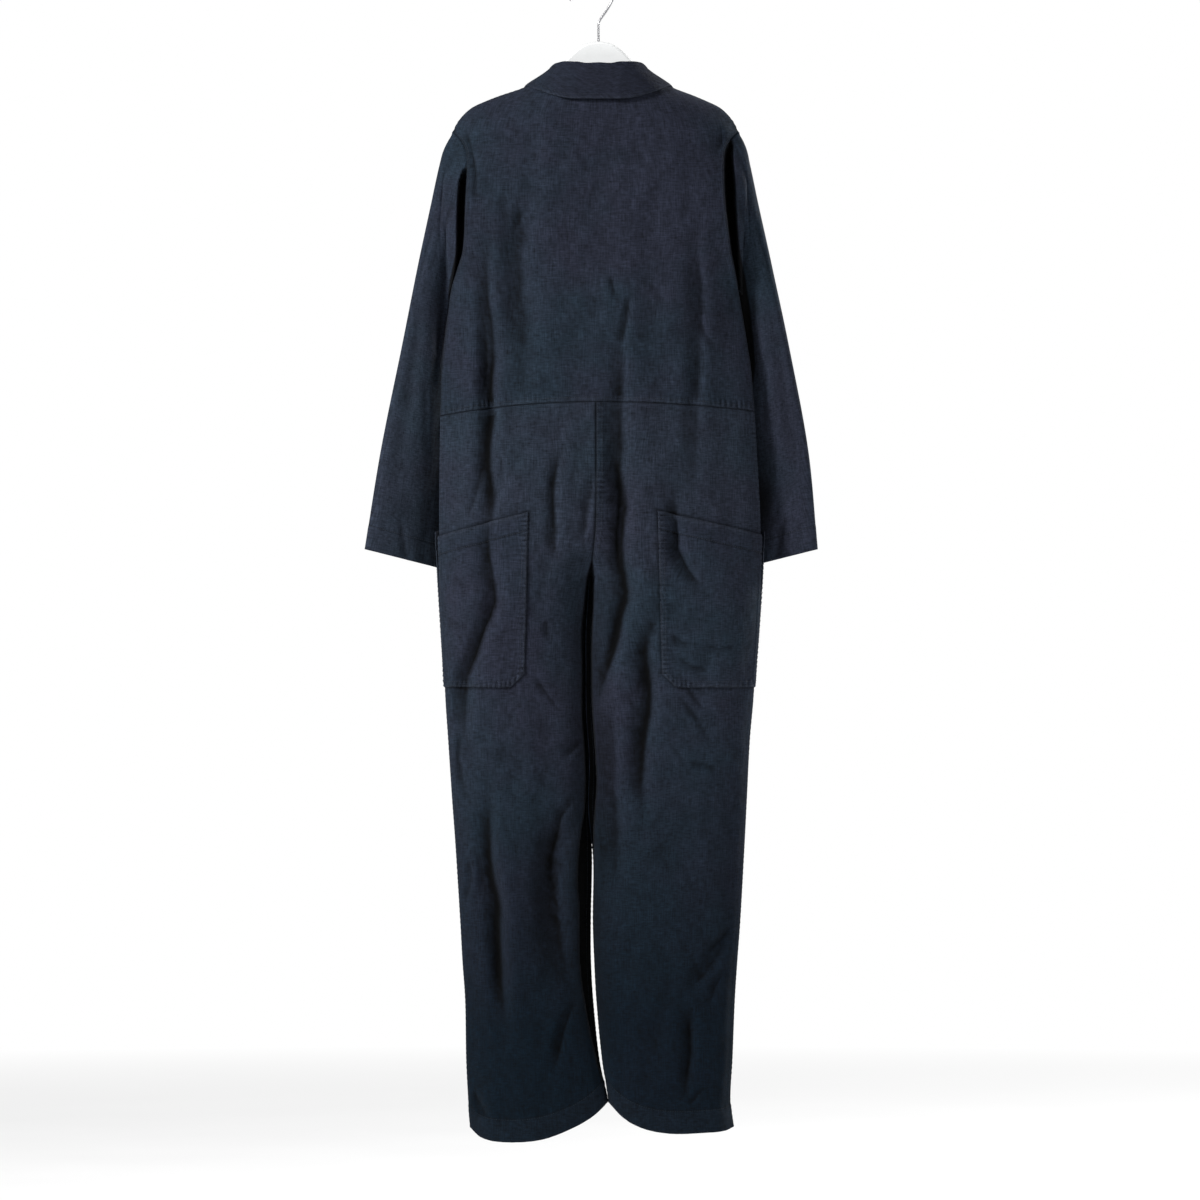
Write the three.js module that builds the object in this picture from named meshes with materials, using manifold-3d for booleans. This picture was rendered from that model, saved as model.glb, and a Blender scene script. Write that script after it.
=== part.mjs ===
// A long-sleeved work jumpsuit of thin cloth that hangs from a shaped hanger with a steel hook.
// Units are millimetres. +Z is up, -Y is the garment's front and +X is the wearer's left.
// The origin is the top of the inside of the hook's bow, where it rests on a rail.
// Cloth is a wall round a middle surface, and every panel is a part of one shared body surface,
// so that panels which are sewn together meet along the same line with a small gap.

import * as THREE from "three";
import { mergeVertices } from "three/addons/utils/BufferGeometryUtils.js";
import Module from "manifold-3d";

// Cloth and seams
const CLOTH = 1.5; // thickness of a panel
const PATCH = 1.2; // thickness of a pocket or placket
const SEAM_GAP = 0.3; // between two pieces sewn edge to edge
const SIDE_GAP = 0.2; // from the plane of the side seams to either panel's middle
const LAY_GAP = 0.3; // between a panel and a piece that lies on it
const HEM_EXTRA = 0.9; // turned-up cloth inside a hem

// Where the garment hangs under the hook
const BOW_OFFSET = 8.6; // the hook's bow stands this far to the side of its stem

// Body
const BODY_FLATNESS = 2.6; // higher is flatter across the middle of a section
const SIDE_CREASE = 0.7; // 0.5 is round at the side seam, 1 is sharp
const INSEAM_CREASE = 0.5;
const EDGE_FADE = 0.07; // share of a section over which folds die out towards a seam
const SHOULDER_ROUND = 55; // height over which the cloth turns over the shoulder
const NECK_HALF_WIDTH = 72;
const NECK_SIDE_Z = -145;
const NECK_BACK = { drop: 7, depth: 41 };
const NECK_FRONT = { drop: 77, depth: 52 };
const NECK_CURVE = 1.7; // keeps the neckline level where it crosses the shoulder
const SHOULDER_POINT_Z = -214;
const UNDERARM_Z = -429;
const ARMHOLE_HALF_DEPTH = 38;
const ARMHOLE_CURVE = 1.4; // 1 is an ellipse; higher is more pointed at the top and foot
const WAIST_Z = -581; // at the centre; the seam drops towards the sides
const WAIST_DROP = { left: 18, right: 12, over: 212 };
const HIP_START_Z = -560; // above this the body has no line between its halves
const RISE_START_Z = -712; // where the seat seam starts to curve under
const CROTCH_Z = -815;
const FRONT_SEAM_STRAIGHT = { from: -810, to: -720 }; // the front seam runs into the centre line
const LEG_HEM = 31;

// Half widths of the body from its centre line to the side seam or armhole seam
const BODY_WIDTH = [
  { z: -1580, left: 171, right: 182 },
  { z: -1556, left: 173, right: 181.5 },
  { z: -1522, left: 175.4, right: 177.5 },
  { z: -1468, left: 178.1, right: 180.3 },
  { z: -1388, left: 179.5, right: 183.5 },
  { z: -1334, left: 183.2, right: 187 },
  { z: -1280, left: 186.2, right: 191 },
  { z: -1172, left: 193, right: 197 },
  { z: -1118, left: 197, right: 199.7 },
  { z: -1036, left: 202.4, right: 203.8 },
  { z: -982, left: 206, right: 208.5 },
  { z: -888, left: 210, right: 214 },
  { z: -758, left: 214.5, right: 218.3 },
  { z: -645, left: 214, right: 213.2 },
  { z: -541, left: 212, right: 206.5 },
  { z: -496, left: 207.8, right: 199.8 },
  { z: -451, left: 202, right: 192.5 },
  { z: -429, left: 199, right: 188.7 },
  { z: -402, left: 190.3, right: 183.5 },
  { z: -375, left: 182.5, right: 178 },
  { z: -307, left: 179, right: 170 },
  { z: -262, left: 177, right: 168.7 },
  { z: -240, left: 179, right: 171 },
  { z: -226, left: 186, right: 178 },
  { z: -214, left: 196, right: 188 },
  { z: -130, left: 196, right: 188 },
];

// How far the back and the front stand out from the plane of the side seams
const BODY_DEPTH = [
  { z: -1580, back: 39, front: 38 },
  { z: -1480, back: 35, front: 34 },
  { z: -1200, back: 38, front: 37 },
  { z: -1000, back: 44, front: 42 },
  { z: -900, back: 50, front: 48 },
  { z: -780, back: 58, front: 55 },
  { z: -680, back: 56, front: 57 },
  { z: -581, back: 50, front: 55 },
  { z: -450, back: 54, front: 58 },
  { z: -300, back: 54, front: 57 },
  { z: -200, back: 49, front: 53 },
  { z: -140, back: 42, front: 50 },
];

// The line between the two legs: its place, half the gap beside it, and how far each leg's
// inner edge stands behind or before that of the other
const LEG_SPLIT = [
  { z: -1580, centre: -15, half: 1.6, step: 0 },
  { z: -1524, centre: -13, half: 1.4, step: 3 },
  { z: -1468, centre: -3, half: 2.6, step: 3 },
  { z: -1388, centre: 5, half: 3, step: 3 },
  { z: -1334, centre: 8, half: 3, step: 3 },
  { z: -1280, centre: 9, half: 2.2, step: 3 },
  { z: -1198, centre: 8, half: 1.6, step: 4 },
  { z: -1131, centre: 12, half: -1, step: 8 },
  { z: -1063, centre: 11, half: -1, step: 8 },
  { z: -1000, centre: 15, half: -1, step: 8 },
  { z: -940, centre: 15.5, half: 0.98, step: 8 },
  { z: -890, centre: 15.5, half: 0.98, step: 8 },
  { z: -850, centre: 13, half: 0.98, step: 3 },
  { z: -815, centre: 11, half: 0.98, step: 0 },
  { z: -760, centre: 5, half: 0.98, step: 0 },
  { z: -712, centre: 3.5, half: 0.25, step: 0 },
  { z: -560, centre: 3.5, half: 0.15, step: 0 },
];

// The top of the shoulder seam outside the neck
const SHOULDER_LINE = [
  { x: 72, z: -145 },
  { x: 105, z: -158.5 },
  { x: 129, z: -167 },
  { x: 149, z: -175 },
  { x: 166, z: -183 },
  { x: 177, z: -192 },
  { x: 186, z: -203 },
  { x: 192, z: -214 },
];

const SHOULDER_END_X = 192;
const SHOULDER_BLEND = { from: 80, to: 150 }; // where each side takes its own width

// The lower edge of each leg from the inseam (0) to the side seam (1)
const LEG_EDGE = [
  { u: 0, backLeft: -1525, backRight: -1525, front: -1525 },
  { u: 0.12, backLeft: -1544, backRight: -1546, front: -1537 },
  { u: 0.28, backLeft: -1560, backRight: -1559.5, front: -1550 },
  { u: 0.5, backLeft: -1574, backRight: -1565.5, front: -1560 },
  { u: 0.78, backLeft: -1577, backRight: -1564.5, front: -1562 },
  { u: 0.93, backLeft: -1571, backRight: -1562.5, front: -1560 },
  { u: 1, backLeft: -1558, backRight: -1558, front: -1558 },
];

// The sleeve's outer and inner fold lines from the armhole (0) to the cuff (1), for the left
// arm, and half the thickness of the tube behind and before the plane between them
const SLEEVE = [
  { s: 0, outX: 194, outY: 0, outZ: -214, inX: 202, inY: 0, inZ: -429, back: 38, front: 38 },
  { s: 0.05, outX: 205, outY: -1, outZ: -229, inX: 206, inY: -7, inZ: -434, back: 26, front: 34 },
  { s: 0.13, outX: 214.5, outY: -3, outZ: -262, inX: 203, inY: -21, inZ: -443, back: 23, front: 32 },
  { s: 0.24, outX: 226.7, outY: -5, outZ: -318, inX: 201, inY: -33, inZ: -460, back: 24, front: 32 },
  { s: 0.38, outX: 243, outY: -7, outZ: -394, inX: 201, inY: -42, inZ: -495, back: 23, front: 31 },
  { s: 0.56, outX: 264.5, outY: -9, outZ: -502, inX: 200, inY: -49, inZ: -570, back: 22, front: 28 },
  { s: 0.78, outX: 293.5, outY: -11, outZ: -645, inX: 197, inY: -57, inZ: -690, back: 21, front: 25 },
  { s: 1, outX: 315.2, outY: -13, outZ: -779, inX: 197, inY: -64, inZ: -809, back: 19, front: 22 },
];
const ARMHOLE_SLACK = { top: 0.1, foot: 1.8 }; // extra gap, more where the seam bends most
const ARMHOLE_REACH = 0.1; // share of the sleeve over which it leaves the armhole's shape
const SLEEVE_ROUNDNESS = 1.15; // power of the sine across a sleeve; 1 is an ellipse

// How much nearer to the body the right sleeve hangs
const SLEEVE_RIGHT_IN = [
  { s: 0, by: 6 },
  { s: 0.13, by: 10 },
  { s: 0.38, by: 9.8 },
  { s: 0.56, by: 8.3 },
  { s: 0.78, by: 10.7 },
  { s: 1, by: 19.7 },
];
const SLEEVE_HEM_SHARE = 0.055; // of the sleeve's length

// Soft troughs in the cloth: the line of each as [x, z] points, half its width and its depth
const BACK_FOLDS = [
  { width: 13, depth: 6, line: [[158, -350], [158, -496], [150, -550], [152, -602], [160, -672],
    [150, -745], [149, -849], [164, -895], [184, -950], [185, -1040]] },
  { width: 11, depth: 8, line: [[-41, -430], [-29, -506], [-29, -586], [-25, -672], [-33, -725],
    [-26, -793], [-31, -846], [-24, -900], [-6, -955]] },
  { width: 20, depth: 4, line: [[112, -290], [108, -400], [106, -560]] },
  { width: 12, depth: 4, line: [[-132, -320], [-133, -470], [-133, -723]] },
  { width: 12, depth: 5, line: [[-104, -738], [-109, -775], [-128, -818], [-152, -846]] },
  { width: 11, depth: 4, line: [[60, -660], [63, -750], [66, -790]] },
  { width: 15, depth: 5, line: [[-74, -850], [-63, -968], [-58, -1063], [-65, -1150]] },
  { width: 13, depth: 6, line: [[152, -1075], [148, -1198], [138, -1260], [131, -1350], [134, -1430]] },
  { width: 22, depth: 6, line: [[30, -1120], [54, -1180], [52, -1290], [38, -1400]] },
  { width: 11, depth: 4, line: [[-129, -1395], [-120, -1455], [-109, -1528]] },
  { width: 12, depth: 3, line: [[-178, -1300], [-142, -1350], [-120, -1370]] },
];
const FRONT_FOLDS = [
  { width: 14, depth: 6, line: [[140, -330], [146, -480], [138, -590], [142, -700]] },
  { width: 13, depth: 5, line: [[-128, -340], [-136, -480], [-130, -590], [-134, -690]] },
  { width: 12, depth: 4, line: [[62, -430], [70, -560], [60, -650]] },
  { width: 12, depth: 4, line: [[-58, -450], [-66, -560], [-60, -660]] },
  { width: 12, depth: 6, line: [[14, -790], [48, -770], [86, -735]] },
  { width: 12, depth: 5, line: [[8, -800], [-36, -780], [-78, -745]] },
  { width: 16, depth: 5, line: [[96, -950], [104, -1100], [92, -1280], [96, -1420]] },
  { width: 15, depth: 5, line: [[-92, -960], [-86, -1120], [-98, -1290], [-92, -1440]] },
];

// Sleeve troughs: place round the tube in turns (0 is the outer fold, 0.25 the back)
const SLEEVE_FOLDS = [
  { turn: 0.3, from: 0.1, to: 0.5, width: 0.05, depth: 6 },
  { turn: 0.16, from: 0.42, to: 0.86, width: 0.045, depth: 4 },
  { turn: 0.36, from: 0.66, to: 1.02, width: 0.05, depth: 6 },
  { turn: 0.72, from: 0.1, to: 0.55, width: 0.05, depth: 6 },
  { turn: 0.86, from: 0.45, to: 0.95, width: 0.05, depth: 4 },
];

// Patch pockets: the inner edge's x at top and bottom, and the top edge's z at both ends
const POCKETS = {
  backLeft: { topX: 94, bottomX: 100, topInnerZ: -729, topOuterZ: -761, bottomZ: -965, gape: 0 },
  backRight: { topX: 79, bottomX: 86, topInnerZ: -727, topOuterZ: -759, bottomZ: -965, gape: 0 },
  frontLeft: { topX: 88, bottomX: 94, topInnerZ: -714, topOuterZ: -755, bottomZ: -955, gape: 4.6 },
  frontRight: { topX: 84, bottomX: 90, topInnerZ: -714, topOuterZ: -755, bottomZ: -955, gape: 4.6 },
};
const POCKET_CHAMFER = 18;
const POCKET_SAG = 0.8; // how far a pocket's middle stands off the leg
const POCKET_MARGIN = 0.05; // cloth beyond the outline before it is cut, as a share of the leg
const POCKET_FROM = 0.25; // the wall starts at this share of the leg's width
const POCKET_GAPE_FROM = 0.6;

// Front opening
const PLACKET = { halfWidth: 16, topZ: -226, bottomZ: -742 };
const FRONT_SPAN = { from: -760, to: -200 }; // heights that the placket and buttons lie within
const BUTTON = { radius: 7.5, rim: 3, dish: 2.1, count: 8, firstZ: -240, lastZ: -706, sides: 14 };
const BUTTON_CHAMFER = 1;
const BUTTON_X = 0.5; // just beside the line between the two fronts
const BUTTON_STANDOFF = 0.5; // height of the sewing under a button

// Collar: the roll line and the free edge, from the centre back (0) round to the front (1)
const COLLAR = [
  { v: 0, rollX: 0, rollY: 46, rollZ: -122.5, edgeX: 0, edgeY: 53, edgeZ: -173 },
  { v: 0.2, rollX: 33, rollY: 41, rollZ: -122.5, edgeX: 45, edgeY: 50, edgeZ: -171.5 },
  { v: 0.38, rollX: 57, rollY: 24, rollZ: -123, edgeX: 80, edgeY: 33, edgeZ: -160 },
  { v: 0.5, rollX: 66, rollY: 0, rollZ: -131, edgeX: 100, edgeY: 0, edgeZ: -151.5 },
  { v: 0.64, rollX: 66, rollY: -27, rollZ: -142, edgeX: 101, edgeY: -43, edgeZ: -170 },
  { v: 0.82, rollX: 43, rollY: -50, rollZ: -175, edgeX: 85, edgeY: -62, edgeZ: -226 },
  { v: 1, rollX: 5, rollY: -60, rollZ: -206, edgeX: 54, edgeY: -64, edgeZ: -284 },
];
const ROLL_RADIUS = 2.1;
const COLLAR_ROUND = 1.5; // how far the fall bows out between its roll and its edge
const COLLAR_INSET = 1.9; // between the collar's foot and the neckline
const COLLAR_REACH = 0.985; // of the way to the centre front
const ROLL = { start: 0.36, end: 0.52 }; // share of the collar's profile

// Hanger
const WIRE_RADIUS = 1.6;
const BOW_RADIUS = 29; // to the middle of the wire
const BOW_START_DEG = 204; // where the bow leaves the neck of the hook
const BOW_TIP_DEG = -21;
const STEM_TOP_Z = -68;
const STEM_FOOT_Z = -122;
const TIP_FLARE = 0.06; // how far the bow opens towards its tip
const HANGER_THICKNESS = 12;
const HANGER_BEVEL = 3;
const HANGER_ARM_END = 160;
const HANGER_ARM_HEIGHT = 22;
const HANGER_TIP = { out: 9, drop: 6, round: 5, inwards: 8, rise: 2 };
const HANGER_UNDERSIDE = { x: 64, z: -166, middleZ: -158 };
const HANGER_CLEARANCE = { inner: 2.4, outer: 5, from: 110 }; // under the shoulder's cloth
const HANGER_ARCH = [
  { x: 0, z: -94 },
  { x: 10, z: -94.8 },
  { x: 20, z: -98 },
  { x: 32, z: -106.5 },
  { x: 46, z: -121 },
  { x: 58, z: -137 },
  { x: 66, z: -146.5 },
  { x: 72, z: -151 },
];

// Grids
const EDGE = 0.001; // how near to a panel's edge a line of its grid counts as the edge
const TORSO_NECK_STEPS = 4;
const TORSO_SIDE_STEPS = 8;
const TORSO_ROWS = 17;
const LEG_STEPS = 12;
const LEG_ROWS = 27;
const FRONT_LEG_STEPS = 9;
const SLEEVE_SIDES = 20;
const SLEEVE_ROWS = 16;
const COLLAR_STEPS = 28;
const PLACKET_STEPS = 4;
const PLACKET_ROWS = 24;
const TOP_CROWDING = 1.7; // rows crowd towards the shoulder
const SLEEVE_CROWDING = 1.25; // rows crowd towards the armhole
const EDGE_ROUNDS = 12; // rounds of refinement for a panel's upper edge
const SLOPE_STEP = 2e-3; // of a surface's parameters, when its normal is measured

const BACK = 1;
const FRONT = -1;
const LEFT = 1;
const RIGHT = -1;

const mix = (a, b, t) => a + (b - a) * t;
const clamp = (value, low, high) => Math.min(high, Math.max(low, value));
const smoothStep = (low, high, value) => {
  const t = clamp((value - low) / (high - low), 0, 1);
  return t * t * (3 - 2 * t);
};
const span = (count, from = 0, to = 1) =>
  Array.from({ length: count + 1 }, (_, i) => mix(from, to, i / count));

// A smooth curve through one column of a table, whose rows rise by the key column.
function column(table, key, name, at) {
  const last = table.length - 1;
  if (at <= table[0][key]) return table[0][name];
  if (at >= table[last][key]) return table[last][name];
  let i = 0;
  while (at > table[i + 1][key]) i += 1;
  const [low, high] = [table[i], table[i + 1]];
  const gap = high[key] - low[key];
  const slope = (j) => {
    const [before, after] = [table[Math.max(0, j - 1)], table[Math.min(last, j + 1)]];
    return (after[name] - before[name]) / (after[key] - before[key]);
  };
  const t = (at - low[key]) / gap;
  const [a, b] = [slope(i) * gap, slope(i + 1) * gap];
  const rise = high[name] - low[name];
  return low[name] + t * (a + t * (3 * rise - 2 * a - b + t * (a + b - 2 * rise)));
}

// Shape of the body

function halfWidth(side, z) {
  return column(BODY_WIDTH, "z", side === LEFT ? "left" : "right", z);
}

function waistZ(x) {
  const drop = x > 0 ? WAIST_DROP.left : WAIST_DROP.right;
  return WAIST_Z - drop * (Math.abs(x) / WAIST_DROP.over) ** 2;
}

// How far the section has parted into two legs: 0 at the waist, 1 from the crotch down.
function parted(z) {
  const s = clamp((RISE_START_Z - z) / (RISE_START_Z - CROTCH_Z), 0, 1);
  return 1 - Math.sqrt(1 - s * s);
}

// The inner edge of a leg panel: the seat or front seam above the crotch, the inseam below.
function innerX(side, face, z) {
  const centre = column(LEG_SPLIT, "z", "centre", z);
  const { from, to } = FRONT_SEAM_STRAIGHT;
  const straight = face === FRONT ? smoothStep(from, to, z) : 0;
  return mix(centre, 0, straight) + side * column(LEG_SPLIT, "z", "half", z);
}

function armholeEdge(z) {
  const middle = (SHOULDER_POINT_Z + UNDERARM_Z) / 2;
  const half = (SHOULDER_POINT_Z - UNDERARM_Z) / 2;
  const s = (z - middle) / half;
  return Math.abs(s) < 1 ? ARMHOLE_HALF_DEPTH * (1 - s * s) ** (ARMHOLE_CURVE / 2) : 0;
}

function foldDepth(folds, x, z) {
  let deepest = 0;
  for (const fold of folds) {
    const line = fold.line;
    for (let i = 0; i + 1 < line.length; i += 1) {
      const [ax, az] = line[i];
      const [bx, bz] = line[i + 1];
      const length = (bx - ax) ** 2 + (bz - az) ** 2;
      const t = clamp(((x - ax) * (bx - ax) + (z - az) * (bz - az)) / length, 0, 1);
      const away = Math.hypot(x - mix(ax, bx, t), z - mix(az, bz, t)) / fold.width;
      const along = (i + t) / (line.length - 1);
      const taper = Math.min(1, 4 * Math.min(along, 1 - along) + 0.15);
      deepest = Math.max(deepest, fold.depth * taper * Math.exp(-away * away));
    }
  }
  return deepest;
}

// The neckline and the shoulder seam, as the height and depth of the cloth's upper edge.
function topEdge(face, side, x) {
  const neck = face === BACK ? NECK_BACK : NECK_FRONT;
  const across = Math.abs(x) / NECK_HALF_WIDTH;
  if (across < 1) {
    const round = Math.sqrt(1 - across * across);
    return { z: NECK_SIDE_Z - neck.drop * round ** NECK_CURVE, y: neck.depth * round };
  }
  const reach = SHOULDER_END_X / halfWidth(side, SHOULDER_POINT_Z);
  const { from, to } = SHOULDER_BLEND;
  const along = mix(Math.abs(x), Math.abs(x) * reach, smoothStep(from, to, Math.abs(x)));
  return { z: column(SHOULDER_LINE, "x", "z", along), y: 0 };
}

// The middle surface of the body. u runs from the centre or inseam (0) to the side seam (1).
function bodyPoint(face, side, u, z) {
  const width = halfWidth(side, z);
  const split = parted(z);
  const inner = z < HIP_START_Z ? innerX(side, face, z) : 0;
  const x = inner + u * (side * width - inner);
  const across = clamp(Math.abs(x) / halfWidth(x > 0 ? LEFT : RIGHT, z), 0, 1);
  const torso = (1 - across ** BODY_FLATNESS) ** SIDE_CREASE;
  const turn = Math.abs(2 * u - 1);
  const leg = (1 - turn ** BODY_FLATNESS) ** (u < 0.5 ? INSEAM_CREASE : SIDE_CREASE);
  const depth = column(BODY_DEPTH, "z", face === BACK ? "back" : "front", z);
  const edge = armholeEdge(z);
  let y = mix(edge + (depth - edge) * torso, depth * leg, split);
  const top = topEdge(face, x > 0 ? LEFT : RIGHT, x);
  const below = clamp((top.z - z) / SHOULDER_ROUND, 0, 1);
  y = mix(top.y, y, Math.sqrt(1 - (1 - below) ** 2));
  const sideFade = smoothStep(0, EDGE_FADE, 1 - u);
  const innerFade = mix(1, smoothStep(0, EDGE_FADE, u), smoothStep(0, 0.2, split));
  const folds = face === BACK ? BACK_FOLDS : FRONT_FOLDS;
  y -= foldDepth(folds, x, z) * sideFade * innerFade * smoothStep(0, 1, below);
  const step = side * column(LEG_SPLIT, "z", "step", z) * (1 - u) ** 4 * split;
  return new THREE.Vector3(x, face * (y + SIDE_GAP) - step, z);
}

// Walls

// The outward normal of a surface, from its slopes; both parameters run from 0 to 1.
function normalAt(surface, a, b, facing) {
  const [a0, a1] = [clamp(a - SLOPE_STEP, 0, 1), clamp(a + SLOPE_STEP, 0, 1)];
  const [b0, b1] = [clamp(b - SLOPE_STEP, 0, 1), clamp(b + SLOPE_STEP, 0, 1)];
  const alongA = surface(a1, b).sub(surface(a0, b));
  const alongB = surface(a, b1).sub(surface(a, b0));
  return alongA.cross(alongB).normalize().multiplyScalar(facing);
}

// Lays a seamed edge square to its seam, by taking the named parts out of the normal.
function squared(normal, names) {
  for (const name of names) normal[name] = 0;
  return normal.normalize();
}

function movedOut(surface, facing, distance) {
  return (a, b) => surface(a, b).addScaledVector(normalAt(surface, a, b, facing), distance(a, b));
}

// A closed wall of cloth round a surface. lift moves it out, inside thickens it on its inner
// face, square names the parts of the normal to drop at a seam, and closed joins its ends.
function wall(surface, options) {
  const { columns, rows, facing, thickness, closed = false } = options;
  const { lift = () => 0, inside = () => 0, square = () => "" } = options;
  const positions = [];
  const ring = closed ? columns.length - 1 : columns.length;
  const layer = ring * rows.length;
  for (const outer of [true, false]) {
    for (const b of rows) {
      for (const a of columns.slice(0, ring)) {
        const offset = lift(a, b) + (outer ? thickness / 2 : -thickness / 2 - inside(a, b));
        const normal = squared(normalAt(surface, a, b, facing), square(a, b));
        const point = surface(a, b).addScaledVector(normal, offset);
        positions.push(point.x, point.y, point.z);
      }
    }
  }
  const index = [];
  const quad = (p, q, r, s) => index.push(p, q, r, p, r, s);
  const at = (i, j, inner) => i * ring + (j % ring) + (inner ? layer : 0);
  const cells = closed ? ring : ring - 1;
  for (let i = 0; i + 1 < rows.length; i += 1) {
    for (let j = 0; j < cells; j += 1) {
      quad(at(i, j), at(i, j + 1), at(i + 1, j + 1), at(i + 1, j));
      quad(at(i, j, 1), at(i + 1, j, 1), at(i + 1, j + 1, 1), at(i, j + 1, 1));
    }
  }
  const end = rows.length - 1;
  for (let j = 0; j < cells; j += 1) {
    quad(at(0, j), at(0, j, 1), at(0, j + 1, 1), at(0, j + 1));
    quad(at(end, j), at(end, j + 1), at(end, j + 1, 1), at(end, j, 1));
  }
  for (let i = 0; i < end && !closed; i += 1) {
    quad(at(i, 0), at(i + 1, 0), at(i + 1, 0, 1), at(i, 0, 1));
    quad(at(i, cells), at(i, cells, 1), at(i + 1, cells, 1), at(i + 1, cells));
  }
  const geometry = new THREE.BufferGeometry();
  geometry.setAttribute("position", new THREE.Float32BufferAttribute(positions, 3));
  geometry.setIndex(index);
  return faceOut(geometry);
}

// Turns a closed mesh's triangles round if they face inwards.
function faceOut(geometry) {
  const p = geometry.getAttribute("position");
  const index = geometry.index.array;
  const corner = (i) => new THREE.Vector3().fromBufferAttribute(p, index[i]);
  let volume = 0;
  for (let i = 0; i < index.length; i += 3) {
    volume += corner(i).dot(corner(i + 1).cross(corner(i + 2)));
  }
  if (volume < 0) {
    for (let i = 0; i < index.length; i += 3) {
      [index[i], index[i + 1]] = [index[i + 1], index[i]];
    }
  }
  return geometry;
}

// Panels

// The height of a panel's upper edge on the line u, where the edge's own x depends on its height.
function panelTop(face, side, u) {
  let z = NECK_SIDE_Z;
  for (let i = 0; i < EDGE_ROUNDS; i += 1) {
    z = topEdge(face, side, side * u * halfWidth(side, z)).z;
  }
  return z;
}

// The share of a torso panel's width at which its neckline ends.
const neckShare = () => NECK_HALF_WIDTH / halfWidth(LEFT, NECK_SIDE_Z);

// Columns of a torso panel from the centre to the armhole, with one at the corner of the neck.
function torsoColumns() {
  const neck = neckShare();
  const inside = span(TORSO_NECK_STEPS, 0, neck).slice(0, -1);
  const outside = span(TORSO_SIDE_STEPS).map((t) => mix(neck, 1, Math.sin((t * Math.PI) / 2)));
  return [...inside, ...outside];
}

function torsoSurface(face, side) {
  return (u, v) => {
    const high = panelTop(face, side, u) - (u < neckShare() + EDGE ? SEAM_GAP : 0);
    const foot = waistZ(side * u * halfWidth(side, WAIST_Z)) + SEAM_GAP / 2;
    const z = mix(foot, high, 1 - (1 - v) ** TOP_CROWDING);
    return bodyPoint(face, side, u, z);
  };
}

// Which parts of the normal to drop at the side seam, the waist and the shoulder.
function torsoEdge(u, v) {
  const onShoulder = v > 1 - EDGE && u > neckShare() - EDGE;
  return `${u > 1 - EDGE || onShoulder ? "y" : ""}${v < EDGE ? "z" : ""}`;
}

// The back of the bodice is one piece, so its parameter runs from the right to the left side.
function backSurface() {
  const left = torsoSurface(BACK, LEFT);
  const right = torsoSurface(BACK, RIGHT);
  return (a, v) => (a < 0.5 ? right(1 - 2 * a, v) : left(2 * a - 1, v));
}

function bodiceBack() {
  const columns = torsoColumns();
  const right = columns.slice(1).reverse().map((u) => (1 - u) / 2);
  const left = columns.map((u) => (1 + u) / 2);
  return wall(backSurface(), {
    columns: [...right, ...left],
    rows: span(TORSO_ROWS),
    facing: -1,
    thickness: CLOTH,
    square: (a, v) => torsoEdge(Math.abs(2 * a - 1), v),
  });
}

// A front starts at the centre front, half a seam gap from the other front.
function frontSurface(side) {
  const start = SEAM_GAP / 2 / halfWidth(side, WAIST_Z);
  const surface = torsoSurface(FRONT, side);
  return (a, v) => surface(mix(start, 1, a), v);
}

function bodiceFront(side) {
  return wall(frontSurface(side), {
    columns: torsoColumns(),
    rows: span(TORSO_ROWS),
    facing: side,
    thickness: CLOTH,
    square: (u, v) => `${u < EDGE ? "x" : ""}${torsoEdge(u, v)}`,
  });
}

const legShare = (t) => (1 - Math.cos(Math.PI * t)) / 2;

function hemZ(face, side, u) {
  const back = side === LEFT ? "backLeft" : "backRight";
  return column(LEG_EDGE, "u", face === BACK ? back : "front", u);
}

function legSurface(face, side) {
  return (t, v) => {
    const u = legShare(t);
    const top = waistZ(side * u * halfWidth(side, WAIST_Z)) - SEAM_GAP / 2;
    return bodyPoint(face, side, u, mix(hemZ(face, side, u), top, v));
  };
}

const legColumns = (face) => span(face === BACK ? LEG_STEPS : FRONT_LEG_STEPS);
const legLength = () => WAIST_Z - hemZ(BACK, LEFT, 0.5);
const legRows = () => [0, LEG_HEM / legLength(), ...span(LEG_ROWS).slice(2)];

// Which parts of the normal to drop at the side seam, the seat seam or inseam, and the waist.
function legEdge(surface) {
  return (t, v) => {
    const seat = surface(0, v).z > CROTCH_Z ? "x" : "y";
    const side = t > 1 - EDGE ? "y" : "";
    return `${t < EDGE ? seat : side}${v > 1 - EDGE ? "z" : ""}`;
  };
}

function leg(face, side) {
  const surface = legSurface(face, side);
  const inHem = (t, v) => v * legLength() < LEG_HEM + 1 && t > EDGE && t < 1 - EDGE;
  return wall(surface, {
    columns: legColumns(face),
    rows: legRows(),
    facing: -face * side,
    thickness: CLOTH,
    inside: (t, v) => (inHem(t, v) ? HEM_EXTRA : 0),
    square: legEdge(surface),
  });
}

// Sleeves

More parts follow.
